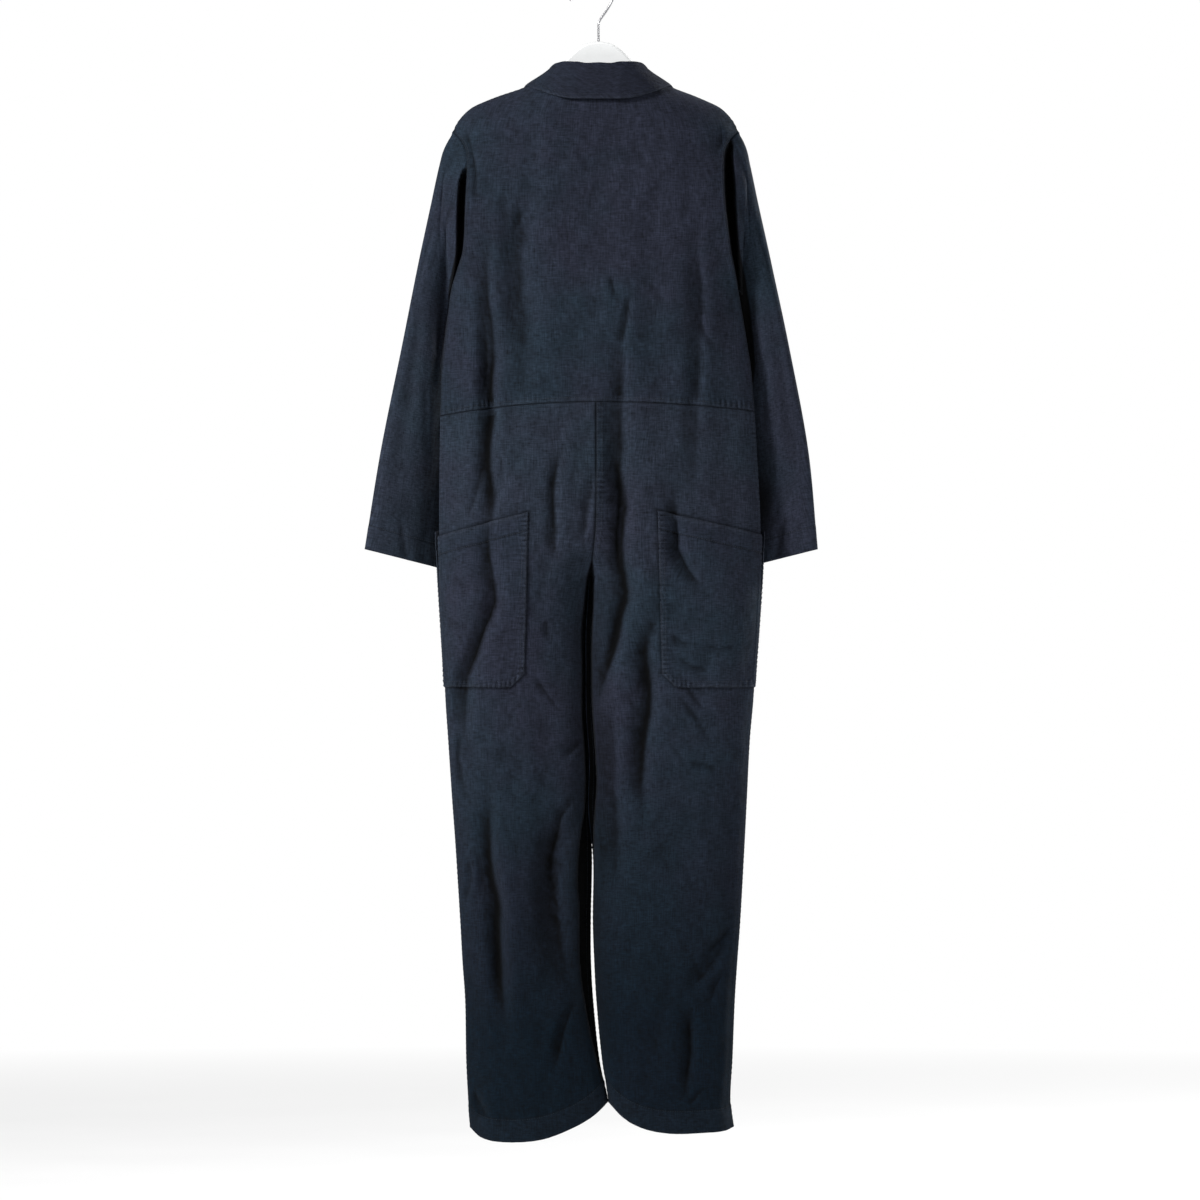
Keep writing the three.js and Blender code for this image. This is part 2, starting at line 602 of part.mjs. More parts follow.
// The middle surface of a sleeve. turn runs once round the tube from its outer fold by the back.
function sleevePoint(side, turn, s) {
  const at = (name) => column(SLEEVE, "s", name, s);
  const inwards = side === RIGHT ? column(SLEEVE_RIGHT_IN, "s", "by", s) : 0;
  const outer = new THREE.Vector3(at("outX") - inwards, at("outY"), at("outZ"));
  const inner = new THREE.Vector3(at("inX") - inwards, at("inY"), at("inZ"));
  const angle = turn * 2 * Math.PI;
  const sine = Math.sin(angle);
  const point = outer.lerp(inner, (1 - Math.cos(angle)) / 2);
  const power = mix(ARMHOLE_CURVE, SLEEVE_ROUNDNESS, smoothStep(0, ARMHOLE_REACH, s));
  const half = sine > 0 ? at("back") : at("front");
  const sunk = sleeveFold(turn, s);
  point.y += Math.sign(sine) * (half * Math.abs(sine) ** power - sunk);
  const nearSeam = (1 - clamp(s / ARMHOLE_REACH, 0, 1)) ** 2;
  const slack = mix(ARMHOLE_SLACK.top, ARMHOLE_SLACK.foot, smoothStep(0.3, -0.3, Math.cos(angle)));
  const seamZ = mix(SHOULDER_POINT_Z, UNDERARM_Z, (1 - Math.cos(angle)) / 2);
  const seamX = halfWidth(side, seamZ) + CLOTH / 2 + SEAM_GAP + slack;
  point.x = side * mix(point.x, seamX, nearSeam);
  return point;
}

function sleeveFold(turn, s) {
  let sunk = 0;
  for (const fold of SLEEVE_FOLDS) {
    const along = (s - fold.from) / (fold.to - fold.from);
    if (along > 0 && along < 1) {
      const away = (turn - fold.turn) / fold.width;
      sunk = Math.max(sunk, fold.depth * Math.sin(Math.PI * along) * Math.exp(-away * away));
    }
  }
  return sunk;
}

function sleeve(side) {
  const surface = (a, s) => sleevePoint(side, a, s);
  const crowded = (t) => (1 - SLEEVE_HEM_SHARE) * t ** SLEEVE_CROWDING;
  return wall(surface, {
    columns: span(SLEEVE_SIDES),
    rows: [...span(SLEEVE_ROWS - 1, 0, 1).map(crowded), 1],
    facing: -side,
    thickness: CLOTH,
    inside: (a, s) => (s > 1 - SLEEVE_HEM_SHARE - EDGE ? HEM_EXTRA : 0),
    square: (a, s) => (s < EDGE ? "x" : ""),
    closed: true,
  });
}

// Pockets, placket and collar

// A patch pocket: the leg's own wall moved out, cut to the pocket's outline.
function pocket(face, side) {
  const size = POCKETS[(face === BACK ? "back" : "front") + (side === LEFT ? "Left" : "Right")];
  const surface = legSurface(face, side);
  const share = (z) => 1 - (WAIST_Z - z) / legLength();
  const from = share(size.bottomZ) - POCKET_MARGIN;
  const to = share(size.topInnerZ) + POCKET_MARGIN;
  const rows = legRows().filter((v) => v > from && v < to);
  const columns = legColumns(face).filter((t) => t > POCKET_FROM);
  const lift = (t, v) => {
    const height = clamp((surface(t, v).z - size.bottomZ) / (size.topOuterZ - size.bottomZ), 0, 1);
    const gape = size.gape * smoothStep(POCKET_GAPE_FROM, 1, t) * height;
    const sag = POCKET_SAG * Math.sin(Math.PI * height) * Math.sin(Math.PI * t);
    return (CLOTH + PATCH) / 2 + LAY_GAP + gape + sag;
  };
  const cloth = wall(surface, {
    columns,
    rows,
    facing: -face * side,
    thickness: PATCH,
    lift,
    square: legEdge(surface),
  });
  const beyond = 60;
  const wide = halfWidth(side, size.topOuterZ) + beyond;
  const slope = (size.topOuterZ - size.topInnerZ) / (halfWidth(side, size.topOuterZ) - size.topX);
  const outline = new THREE.Shape([
    new THREE.Vector2(size.topX, size.topInnerZ),
    new THREE.Vector2(size.bottomX, size.bottomZ + POCKET_CHAMFER),
    new THREE.Vector2(size.bottomX + POCKET_CHAMFER, size.bottomZ),
    new THREE.Vector2(wide, size.bottomZ),
    new THREE.Vector2(wide, size.topOuterZ + slope * beyond),
  ]);
  const through = 2 * beyond;
  const cutter = new THREE.ExtrudeGeometry(outline, { depth: 2 * through, bevelEnabled: false });
  cutter.translate(0, 0, -through);
  cutter.rotateX(Math.PI / 2);
  if (side === RIGHT) cutter.rotateZ(Math.PI);
  return geometryOf(solidOf(cloth).intersect(solidOf(cutter)));
}

// A point on the front's outer side, given by x and z, lifted off the cloth.
function frontAt(x, z, lift) {
  const side = x < 0 ? RIGHT : LEFT;
  const { from, to } = FRONT_SPAN;
  const inner = z < HIP_START_Z ? side * innerX(side, FRONT, z) : 0;
  const body = (a, b) => bodyPoint(FRONT, side, a, mix(from, to, b));
  const u = clamp((Math.abs(x) - inner) / (halfWidth(side, z) - inner), 0, 1);
  return movedOut(body, side, () => lift)(u, (z - from) / (to - from));
}

function placket() {
  const lift = (CLOTH + PATCH) / 2 + LAY_GAP;
  const surface = (a, b) => {
    const x = mix(-PLACKET.halfWidth, PLACKET.halfWidth, a);
    return frontAt(x, mix(PLACKET.bottomZ, PLACKET.topZ, b), lift);
  };
  return wall(surface, {
    columns: span(PLACKET_STEPS),
    rows: span(PLACKET_ROWS),
    facing: 1,
    thickness: PATCH,
  });
}

function button(index) {
  const { radius, rim, dish } = BUTTON;
  const outline = [
    new THREE.Vector2(0, 0),
    new THREE.Vector2(radius - BUTTON_CHAMFER, 0),
    new THREE.Vector2(radius, BUTTON_CHAMFER),
    new THREE.Vector2(radius, rim - BUTTON_CHAMFER),
    new THREE.Vector2(radius - BUTTON_CHAMFER, rim),
    new THREE.Vector2(radius - 2 * BUTTON_CHAMFER, dish),
    new THREE.Vector2(0, dish),
  ];
  const mesh = new THREE.Mesh(new THREE.LatheGeometry(outline, BUTTON.sides), buttonMaterial);
  const z = mix(BUTTON.firstZ, BUTTON.lastZ, index / (BUTTON.count - 1));
  const lift = CLOTH / 2 + PATCH + 2 * LAY_GAP + BUTTON_STANDOFF;
  mesh.position.copy(frontAt(BUTTON_X, z, lift));
  const outwards = frontAt(BUTTON_X, z, lift + 1).sub(mesh.position).normalize();
  mesh.quaternion.setFromUnitVectors(new THREE.Vector3(0, 1, 0), outwards);
  mesh.name = `button_${index + 1}`;
  return mesh;
}

// The foot of the collar, just inside the neckline: from the centre back (0) by the shoulder
// (0.5) to the centre front (1).
function collarFoot(v) {
  const angle = v * Math.PI;
  const neck = v < 0.5 ? NECK_BACK : NECK_FRONT;
  const round = Math.abs(Math.cos(angle));
  return new THREE.Vector3(
    (NECK_HALF_WIDTH - COLLAR_INSET) * Math.sin(angle),
    (neck.depth - COLLAR_INSET) * Math.cos(angle),
    NECK_SIDE_Z + COLLAR_INSET - neck.drop * round ** NECK_CURVE,
  );
}

// The collar's profile at v: up the stand, over the roll and down to the free edge (w = 1).
function collarPoint(v, w) {
  const half = Math.abs(v);
  const side = v < 0 ? -1 : 1;
  const at = (name) => column(COLLAR, "v", name, half);
  const neck = collarFoot(half);
  const roll = new THREE.Vector3(at("rollX"), at("rollY"), at("rollZ"));
  const edge = new THREE.Vector3(at("edgeX"), at("edgeY"), at("edgeZ"));
  const outwards = edge.clone().sub(neck).setZ(0).normalize();
  let point;
  if (w < ROLL.start) {
    point = neck.lerp(roll.addScaledVector(outwards, -ROLL_RADIUS), w / ROLL.start);
  } else if (w < ROLL.end) {
    const angle = (Math.PI * (w - ROLL.start)) / (ROLL.end - ROLL.start);
    point = roll.addScaledVector(outwards, -ROLL_RADIUS * Math.cos(angle));
    point.z += ROLL_RADIUS * Math.sin(angle);
  } else {
    const t = (w - ROLL.end) / (1 - ROLL.end);
    point = roll.addScaledVector(outwards, ROLL_RADIUS).lerp(edge, t);
    point.addScaledVector(outwards, COLLAR_ROUND * Math.sin(Math.PI * t));
  }
  point.x *= side;
  return point;
}

function collar() {
  const surface = (a, b) => collarPoint(mix(-COLLAR_REACH, COLLAR_REACH, a), b);
  const stand = span(2, 0, ROLL.start).slice(0, -1);
  const roll = span(4, ROLL.start, ROLL.end);
  const fall = span(4, ROLL.end, 1).slice(1);
  return wall(surface, {
    columns: span(COLLAR_STEPS),
    rows: [...stand, ...roll, ...fall],
    facing: 1,
    thickness: CLOTH,
  });
}

// Hanger

const wasm = await Module();
wasm.setup();

function solidOf(geometry) {
  const bare = geometry.clone();
  bare.deleteAttribute("normal");
  bare.deleteAttribute("uv");
  const merged = mergeVertices(bare, 1e-4);
  return new wasm.Manifold(new wasm.Mesh({
    numProp: 3,
    vertProperties: merged.getAttribute("position").array,
    triVerts: new Uint32Array(merged.index.array),
  }));
}

function geometryOf(solid) {
  const mesh = solid.getMesh();
  const geometry = new THREE.BufferGeometry();
  geometry.setAttribute("position", new THREE.BufferAttribute(mesh.vertProperties, 3));
  geometry.setIndex(new THREE.BufferAttribute(mesh.triVerts, 1));
  return geometry;
}

// The hanger's upper line: an arch at the neck, then just under the cloth of the lower shoulder.
function hangerTop(x) {
  if (x < NECK_HALF_WIDTH) return column(HANGER_ARCH, "x", "z", x);
  const cloth = Math.min(topEdge(BACK, RIGHT, x).z, topEdge(BACK, LEFT, x).z) - CLOTH / 2;
  const { inner, outer, from } = HANGER_CLEARANCE;
  return cloth - mix(inner, outer, smoothStep(from, HANGER_ARM_END, x));
}

function hangerBody() {
  const top = span(26, 0, HANGER_ARM_END).map((x) => new THREE.Vector2(x, hangerTop(x)));
  const tip = top[top.length - 1];
  const { out, drop, round, inwards, rise } = HANGER_TIP;
  const end = new THREE.CubicBezierCurve(
    tip,
    new THREE.Vector2(tip.x + out, tip.y - drop),
    new THREE.Vector2(tip.x + round, tip.y - HANGER_ARM_HEIGHT),
    new THREE.Vector2(tip.x - inwards, tip.y - HANGER_ARM_HEIGHT + rise),
  ).getPoints(5).slice(1);
  const lower = new THREE.QuadraticBezierCurve(
    end[end.length - 1],
    new THREE.Vector2(HANGER_UNDERSIDE.x, HANGER_UNDERSIDE.z),
    new THREE.Vector2(0, HANGER_UNDERSIDE.middleZ),
  ).getPoints(7).slice(1);
  const half = [...top, ...end, ...lower];
  const other = half.slice(1, -1).reverse().map((p) => new THREE.Vector2(-p.x, p.y));
  const shape = new THREE.Shape([...half, ...other]);
  const body = new THREE.ExtrudeGeometry(shape, {
    depth: HANGER_THICKNESS - 2 * HANGER_BEVEL,
    bevelThickness: HANGER_BEVEL,
    bevelSize: HANGER_BEVEL,
    bevelOffset: -HANGER_BEVEL,
    bevelSegments: 2,
    curveSegments: 4,
  });
  body.translate(0, 0, -HANGER_THICKNESS / 2 + HANGER_BEVEL);
  body.rotateX(Math.PI / 2);
  const boreRadius = WIRE_RADIUS + SEAM_GAP;
  const boreDepth = 60;
  const bore = new THREE.CylinderGeometry(boreRadius, boreRadius, boreDepth, 12);
  bore.rotateX(Math.PI / 2);
  bore.translate(0, 0, STEM_FOOT_Z - SEAM_GAP + boreDepth / 2);
  return geometryOf(solidOf(body).subtract(solidOf(bore)));
}

function hook() {
  const bowZ = WIRE_RADIUS - BOW_RADIUS;
  const bow = span(22, BOW_START_DEG, BOW_TIP_DEG).map((degrees) => {
    const angle = THREE.MathUtils.degToRad(degrees);
    const flare = 1 + TIP_FLARE * smoothStep(10, BOW_TIP_DEG, degrees);
    return new THREE.Vector3(
      BOW_OFFSET + BOW_RADIUS * flare * Math.cos(angle),
      0,
      bowZ + BOW_RADIUS * flare * Math.sin(angle),
    );
  });
  const neck = [
    new THREE.Vector3(0, 0, STEM_FOOT_Z),
    new THREE.Vector3(0, 0, (STEM_FOOT_Z + STEM_TOP_Z) / 2),
    new THREE.Vector3(0, 0, STEM_TOP_Z - 3),
    new THREE.Vector3(-0.5, 0, STEM_TOP_Z + 0.5),
    new THREE.Vector3(-3.4, 0, STEM_TOP_Z + 5.5),
    new THREE.Vector3(-8.8, 0, STEM_TOP_Z + 13),
    new THREE.Vector3(-13.6, 0, STEM_TOP_Z + 20.5),
  ];
  const path = new THREE.CatmullRomCurve3([...neck, ...bow]);
  const section = new THREE.Shape(
    span(8).slice(0, 8).map((t) => new THREE.Vector2(
      WIRE_RADIUS * Math.cos(2 * Math.PI * t),
      WIRE_RADIUS * Math.sin(2 * Math.PI * t),
    )),
  );
  return new THREE.ExtrudeGeometry(section, {
    steps: 44,
    bevelEnabled: false,
    extrudePath: path,
  });
}

// The whole garment

const clothMaterial = new THREE.MeshStandardMaterial({ color: 0x232833, roughness: 0.92 });
const buttonMaterial = new THREE.MeshStandardMaterial({ color: 0x15171c, roughness: 0.45 });
const hangerMaterial = new THREE.MeshStandardMaterial({ color: 0xf2f3f2, roughness: 0.45 });
const steelMaterial = new THREE.MeshStandardMaterial({ color: 0x8c8d8f, roughness: 0.3, metalness: 1 });

const garment = new THREE.Group();
garment.position.x = -BOW_OFFSET;

function add(name, geometry, material) {
  const mesh = new THREE.Mesh(geometry, material);
  mesh.name = name;
  garment.add(mesh);
}

add("bodice_back", bodiceBack(), clothMaterial);
for (const [word, side] of [["left", LEFT], ["right", RIGHT]]) {
  add(`bodice_front_${word}`, bodiceFront(side), clothMaterial);
  add(`leg_back_${word}`, leg(BACK, side), clothMaterial);
  add(`leg_front_${word}`, leg(FRONT, side), clothMaterial);
  add(`sleeve_${word}`, sleeve(side), clothMaterial);
  add(`pocket_back_${word}`, pocket(BACK, side), clothMaterial);
  add(`pocket_front_${word}`, pocket(FRONT, side), clothMaterial);
}
add("collar", collar(), clothMaterial);
add("placket", placket(), clothMaterial);
for (let i = 0; i < BUTTON.count; i += 1) {
  garment.add(button(i));
}
add("hanger_body", hangerBody(), hangerMaterial);
add("hanger_hook", hook(), steelMaterial);

const part = new THREE.Group();
part.add(garment);

export default part;
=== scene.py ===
"""A long-sleeved work jumpsuit of dark linen and cotton cloth, seen from the back on its hanger.

The tables are in millimetres from the stem of the hanger's hook, as in the solids: +Z up, -Y the
front, +X the wearer's left. Meshes are made in metres, in the frame's own place.
"""

import math

import bmesh
import bpy
import numpy as np
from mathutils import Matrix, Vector

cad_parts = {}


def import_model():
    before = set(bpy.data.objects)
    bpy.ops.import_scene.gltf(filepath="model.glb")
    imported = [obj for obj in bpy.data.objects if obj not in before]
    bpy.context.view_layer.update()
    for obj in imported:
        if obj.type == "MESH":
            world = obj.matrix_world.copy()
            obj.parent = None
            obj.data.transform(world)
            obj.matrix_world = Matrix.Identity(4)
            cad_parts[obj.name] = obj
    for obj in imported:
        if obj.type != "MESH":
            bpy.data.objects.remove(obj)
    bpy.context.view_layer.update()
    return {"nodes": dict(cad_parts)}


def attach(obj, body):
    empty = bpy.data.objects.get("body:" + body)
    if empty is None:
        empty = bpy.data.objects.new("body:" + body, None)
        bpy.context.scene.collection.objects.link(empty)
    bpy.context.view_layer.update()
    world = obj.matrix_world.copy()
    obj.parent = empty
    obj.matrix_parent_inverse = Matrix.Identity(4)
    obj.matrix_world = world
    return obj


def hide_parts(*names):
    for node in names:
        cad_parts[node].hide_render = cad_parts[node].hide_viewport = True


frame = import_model()

MM = 0.001
BOW_OFFSET = 8.6  # the stem's place beside the frame's origin
BACK, FRONT = 1, -1
LEFT, RIGHT = 1, -1
WORDS = {LEFT: "left", RIGHT: "right"}

# Cloth
CLOTH = 1.5
PATCH = 1.2
SEAM_GAP = 0.3
LAY_GAP = 0.35
HEM_EXTRA = 0.9

# Body
BODY_FLATNESS = 2.6
CREST_EASE = 32
SIDE_CREASE = 0.7
INSEAM_CREASE = 0.5
EDGE_FADE = 0.07
SHOULDER_ROUND = 55
NECK_HALF_WIDTH = 72
NECK_SIDE_Z = -145
NECK_DROP = {BACK: 7, FRONT: 77}
NECK_DEPTH = {BACK: 41, FRONT: 52}
NECK_CURVE = 1.7
SHOULDER_POINT_Z = -214
UNDERARM_Z = -429
ARMHOLE_HALF_DEPTH = 38
ARMHOLE_CURVE = 1.4
WAIST_Z = -581
WAIST_DROP = {LEFT: 18, RIGHT: 12}
WAIST_DROP_OVER = 212
SHOULDER_REACH = {LEFT: 192 / 196, RIGHT: 192 / 188}
HIP_START_Z = -560
RISE_START_Z = -712
CROTCH_Z = -815

# Folds: how deep they are cut, how wide their two sides are, how they wander, and their shade
NOISE_CELLS = 61
FOLD_STRENGTH, CREASE_STRENGTH = 2.3, 1.15
WIDE_SIDE, STEEP_SIDE, SHADE_SIDE = 1.5, 0.75, 0.3
FOLD_SHADE, CREASE_SHADE, MOST_SHADE = 0.055, 0.08, 0.34
FOLD_REACH = 4.5
WANDER, FINE_WANDER = (5, 60, 70), (1.3, 22, 38)
SMALL_HOLLOWS, BROAD_HOLLOWS = (-0.35, 0.8), (-0.8, 4)
SMALL_SHADE, BROAD_SHADE = 0.4, 0.11
OPEN_SHADE, DARKEST = (-0.15, 0.6), 0.95
# How dark the painted shadow is in the gaps between the legs and behind the sleeves
SHADOW_BLACK = 0.97
BANK_HEIGHT, BANK_WIDTH = 0.7, 1.4

# Flutes and crumples of the cloth: depth, cell across and down, and how far the cells lean
BODY_FLUTES = ((2.3, 34, 240, 0), (1.2, 21, 46, 0.3))
BODY_CRUMPLES = ((0.45, 10, 16, -0.5), (0.2, 6, 6, 1))
SLEEVE_CRUMPLES = ((0.9, 30, 130, 0), (0.5, 19, 34, 0.4), (0.3, 10, 14, -0.5))
LEG_CRUMPLING, LEG_CRUMPLE_START, LEG_CRUMPLE_FULL = 0.3, -950, -1100

# Seams, stitching and hems
STITCH_ROW = 6
STITCH_PITCH, STITCH_LENGTH = 3.3, 2.5
STITCH_HALF_WIDTH, STITCH_SIDES = 0.3, 5
LEG_HEM, SLEEVE_HEM = 31, 32
LEG_LENGTH, SLEEVE_LENGTH, SLEEVE_GIRTH = 990, 590, 330
SLEEVE_HEM_SHARE = 0.055
SLEEVE_LEAN = math.atan2(121, 565)


def table(names, *rows):
    """A short table as one array for each named column."""
    return dict(zip(names.split(), np.array(rows, float).T))


BODY_WIDTH = table(
    "z left right",
    (-1580, 171, 182),
    (-1556, 173, 181.5),
    (-1522, 175.4, 177.5),
    (-1468, 178.1, 180.3),
    (-1388, 179.5, 183.5),
    (-1334, 183.2, 187),
    (-1280, 186.2, 191),
    (-1172, 193, 197),
    (-1118, 197, 199.7),
    (-1036, 202.4, 203.8),
    (-982, 206, 208.5),
    (-888, 210, 214),
    (-758, 214.5, 218.3),
    (-645, 214, 213.2),
    (-541, 212, 206.5),
    (-496, 207.8, 199.8),
    (-451, 202, 192.5),
    (-429, 199, 188.7),
    (-402, 190.3, 183.5),
    (-375, 182.5, 178),
    (-307, 179, 170),
    (-262, 177, 168.7),
    (-240, 179, 171),
    (-226, 186, 178),
    (-214, 196, 188),
    (-130, 196, 188),
)
BODY_DEPTH = table(
    "z back front",
    (-1580, 39, 38),
    (-1480, 35, 34),
    (-1200, 38, 37),
    (-1000, 44, 42),
    (-900, 50, 48),
    (-780, 58, 55),
    (-680, 56, 57),
    (-581, 50, 55),
    (-450, 54, 58),
    (-300, 54, 57),
    (-200, 49, 53),
    (-140, 42, 50),
)
LEG_SPLIT = table(
    "z centre half step",
    (-1580, -15, 1.6, 0),
    (-1524, -13, 1.4, 3),
    (-1468, -3, 2.6, 3),
    (-1388, 5, 3, 3),
    (-1334, 8, 3, 3),
    (-1280, 9, 2.2, 3),
    (-1198, 8, 1.6, 4),
    (-1131, 12, -1, 8),
    (-1063, 11, -1, 8),
    (-1000, 15, -1, 8),
    (-940, 15.5, -1, 8),
    (-890, 15.5, -1, 8),
    (-850, 13, -1, 6),
    (-815, 11, -0.6, 3),
    (-760, 5, 0.15, 0),
    (-712, 3.5, 0.15, 0),
    (-560, 3.5, 0.15, 0),
)

# How far from each leg's inner edge the back of it stays deep between the legs
LEG_PIT = table(
    "z left right",
    (-1500, 0, 0),
    (-1475, 3, 0),
    (-1430, 8, 0),
    (-1385, 12, 0),
    (-1340, 15, 0),
    (-1300, 15.5, 0),
    (-1260, 16, 0),
    (-1235, 19, 0),
    (-1200, 19, 0),
    (-1165, 15, 4),
    (-1131, 9, 9),
    (-1097, 8, 11),
    (-1063, 9, 9),
    (-1030, 9, 9),
    (-932, 8, 8),
    (-884, 8.5, 8.5),
    (-850, 7, 7.5),
    (-815, 4, 5),
    (-790, 0, 0),
)
LEG_PIT_WALL = 3
SEAM_OVERLAP = 0.1

SHOULDER_LINE = table(
    "x z",
    (72, -145),
    (105, -158.5),
    (129, -167),
    (149, -175),
    (166, -183),
    (177, -192),
    (186, -203),
    (192, -214),
)
LEG_EDGE = table(
    "u back_left back_right front",
    (0, -1525, -1525, -1525),
    (0.12, -1544, -1546, -1537),
    (0.28, -1560, -1559.5, -1550),
    (0.5, -1574, -1565.5, -1560),
    (0.78, -1577, -1564.5, -1562),
    (0.93, -1571, -1562.5, -1560),
    (1, -1558, -1558, -1558),
)

# Sleeves
SLEEVE = table(
    "s out_x out_y out_z in_x in_y in_z back front",
    (0, 194, 0, -214, 202, 0, -429, 38, 38),
    (0.05, 205, -1, -229, 203, -8, -434, 26, 34),
    (0.13, 214.5, -3, -262, 198, -22, -443, 23, 32),
    (0.24, 226.7, -5, -318, 197.5, -33, -460, 24, 32),
    (0.38, 243, -7, -394, 201, -42, -495, 23, 31),
    (0.56, 264.5, -9, -502, 200, -49, -570, 22, 28),
    (0.78, 293.5, -11, -645, 197, -57, -690, 21, 25),
    (1, 315.2, -13, -779, 197, -64, -809, 19, 22),
)
SLEEVE_RIGHT_IN = table(
    "s by",
    (0, 6),
    (0.13, 10),
    (0.38, 9.8),
    (0.56, 8.3),
    (0.78, 10.7),
    (1, 19.7),
)
SLEEVE_ROUNDNESS = 1.15

# The deep fold where the back of each sleeve leaves the body: how far down the sleeve it ends
# at each height of the armhole, from its foot (-1) to its top (1)
ARMHOLE_PIT = table(
    "rise left right",
    (-1, 0.0, 0.024),
    (-0.9, 0.006, 0.03),
    (-0.4, 0.028, 0.038),
    (0.36, 0.028, 0.038),
    (0.48, 0.016, 0.036),
    (0.56, 0, 0.034),
    (0.8, 0, 0.022),
    (0.9, 0, 0),
    (1, 0, 0),
)
ARMHOLE_PIT_DEPTH = 48

# Collar
COLLAR = table(
    "v roll_x roll_y roll_z edge_x edge_y edge_z",
    (0, 0, 46, -127, 0, 53, -174),
    (0.2, 33, 41, -127, 45, 50, -172.5),
    (0.38, 57, 24, -127, 80, 33, -161.5),
    (0.5, 66, 0, -134, 99, 0, -153.8),
    (0.64, 66, -27, -142, 101, -43, -170),
    (0.82, 43, -50, -175, 85, -62, -226),
    (1, 5, -60, -206, 54, -64, -284),
)
COLLAR_INSET = 1.9
COLLAR_ROUND = 1.5
COLLAR_REACH = 0.985
ROLL_RADIUS = 2.1
ROLL_START, ROLL_END = 0.36, 0.52


def mix(a, b, t):
    return a + (b - a) * t


def smooth_step(low, high, value):
    t = np.clip((value - low) / (high - low), 0, 1)
    return t * t * (3 - 2 * t)


def column(rows, key, name, at):
    """A smooth curve through one column of a table, whose rows rise by the key column."""
    x, y = rows[key], rows[name]
    at = np.clip(np.asarray(at, float), x[0], x[-1])
    i = np.clip(np.searchsorted(x, at) - 1, 0, len(x) - 2)
    slope = np.empty_like(y)
    slope[0] = (y[1] - y[0]) / (x[1] - x[0])
    slope[-1] = (y[-1] - y[-2]) / (x[-1] - x[-2])
    slope[1:-1] = (y[2:] - y[:-2]) / (x[2:] - x[:-2])
    gap = x[i + 1] - x[i]
    t = (at - x[i]) / gap
    a, b = slope[i] * gap, slope[i + 1] * gap
    rise = y[i + 1] - y[i]
    return y[i] + t * (a + t * (3 * rise - 2 * a - b + t * (a + b - 2 * rise)))


def noise(x, z, across, down, seed):
    """Smooth hills and hollows from -1 to 1, whose cells have the given size."""
    hills = np.random.default_rng(seed).uniform(-1, 1, (NOISE_CELLS, NOISE_CELLS))
    x, z = x / across, z / down
    i, j = np.floor(x).astype(int), np.floor(z).astype(int)
    s, t = x - i, z - j
    s, t = s * s * (3 - 2 * s), t * t * (3 - 2 * t)
    at = lambda p, q: hills[p % NOISE_CELLS, q % NOISE_CELLS]
    return mix(mix(at(i, j), at(i + 1, j), s), mix(at(i, j + 1), at(i + 1, j + 1), s), t)


# Folds, from the top down: width and depth of the trough, how far the cloth beside it rises
# (a share of the depth, on the wearer's left where positive), and its line as (x, z) points
BACK_FOLDS = (
    (12, 5.5, 0.35, ((150, -300), (152, -400), (148, -496), (143, -550), (144, -602), (149, -672),
                     (143, -730), (142, -780))),
    (12, 6, 0.3, ((150, -680), (147, -745), (144, -800), (143, -850), (147, -872), (155, -892),
                  (168, -925), (176, -949), (178, -990), (179, -1040), (181, -1110))),
    (12, 6, -0.3, ((-43, -440), (-30, -506), (-31, -586), (-28, -672), (-34, -725), (-31, -793),
                   (-33, -846), (-26, -900), (-14, -935), (-3, -980), (4, -1010))),
    (20, 4, 0.25, ((112, -290), (108, -400), (106, -560))),
    (12, 2.5, 0.25, ((-132, -320), (-131, -400), (-136, -470), (-129, -600), (-131, -723))),
    (10, 4.2, 0.25, ((-101, -700), (-105, -740), (-109, -778), (-126, -815), (-150, -850))),
    (8, 2.6, -0.4, ((50, -620), (55, -690), (63, -760), (66, -800))),
    (13, 5, 0.4, ((-74, -850), (-66, -960), (-58, -1063), (-65, -1150))),
    (18, 4, 0.2, ((-12, -960), (-16, -1060), (-22, -1160), (-20, -1260))),
    (11, 7, -0.5, ((152, -1075), (145, -1198), (138, -1260), (131, -1350), (129, -1440))),
    (20, 6, 0.35, ((24, -1100), (54, -1180), (62, -1250), (50, -1330), (38, -1400))),
    (10, 2.6, 0.3, ((-129, -1385), (-122, -1455), (-109, -1535))),
    (14, 2.4, 0.2, ((-184, -1285), (-150, -1340), (-116, -1375))),
)
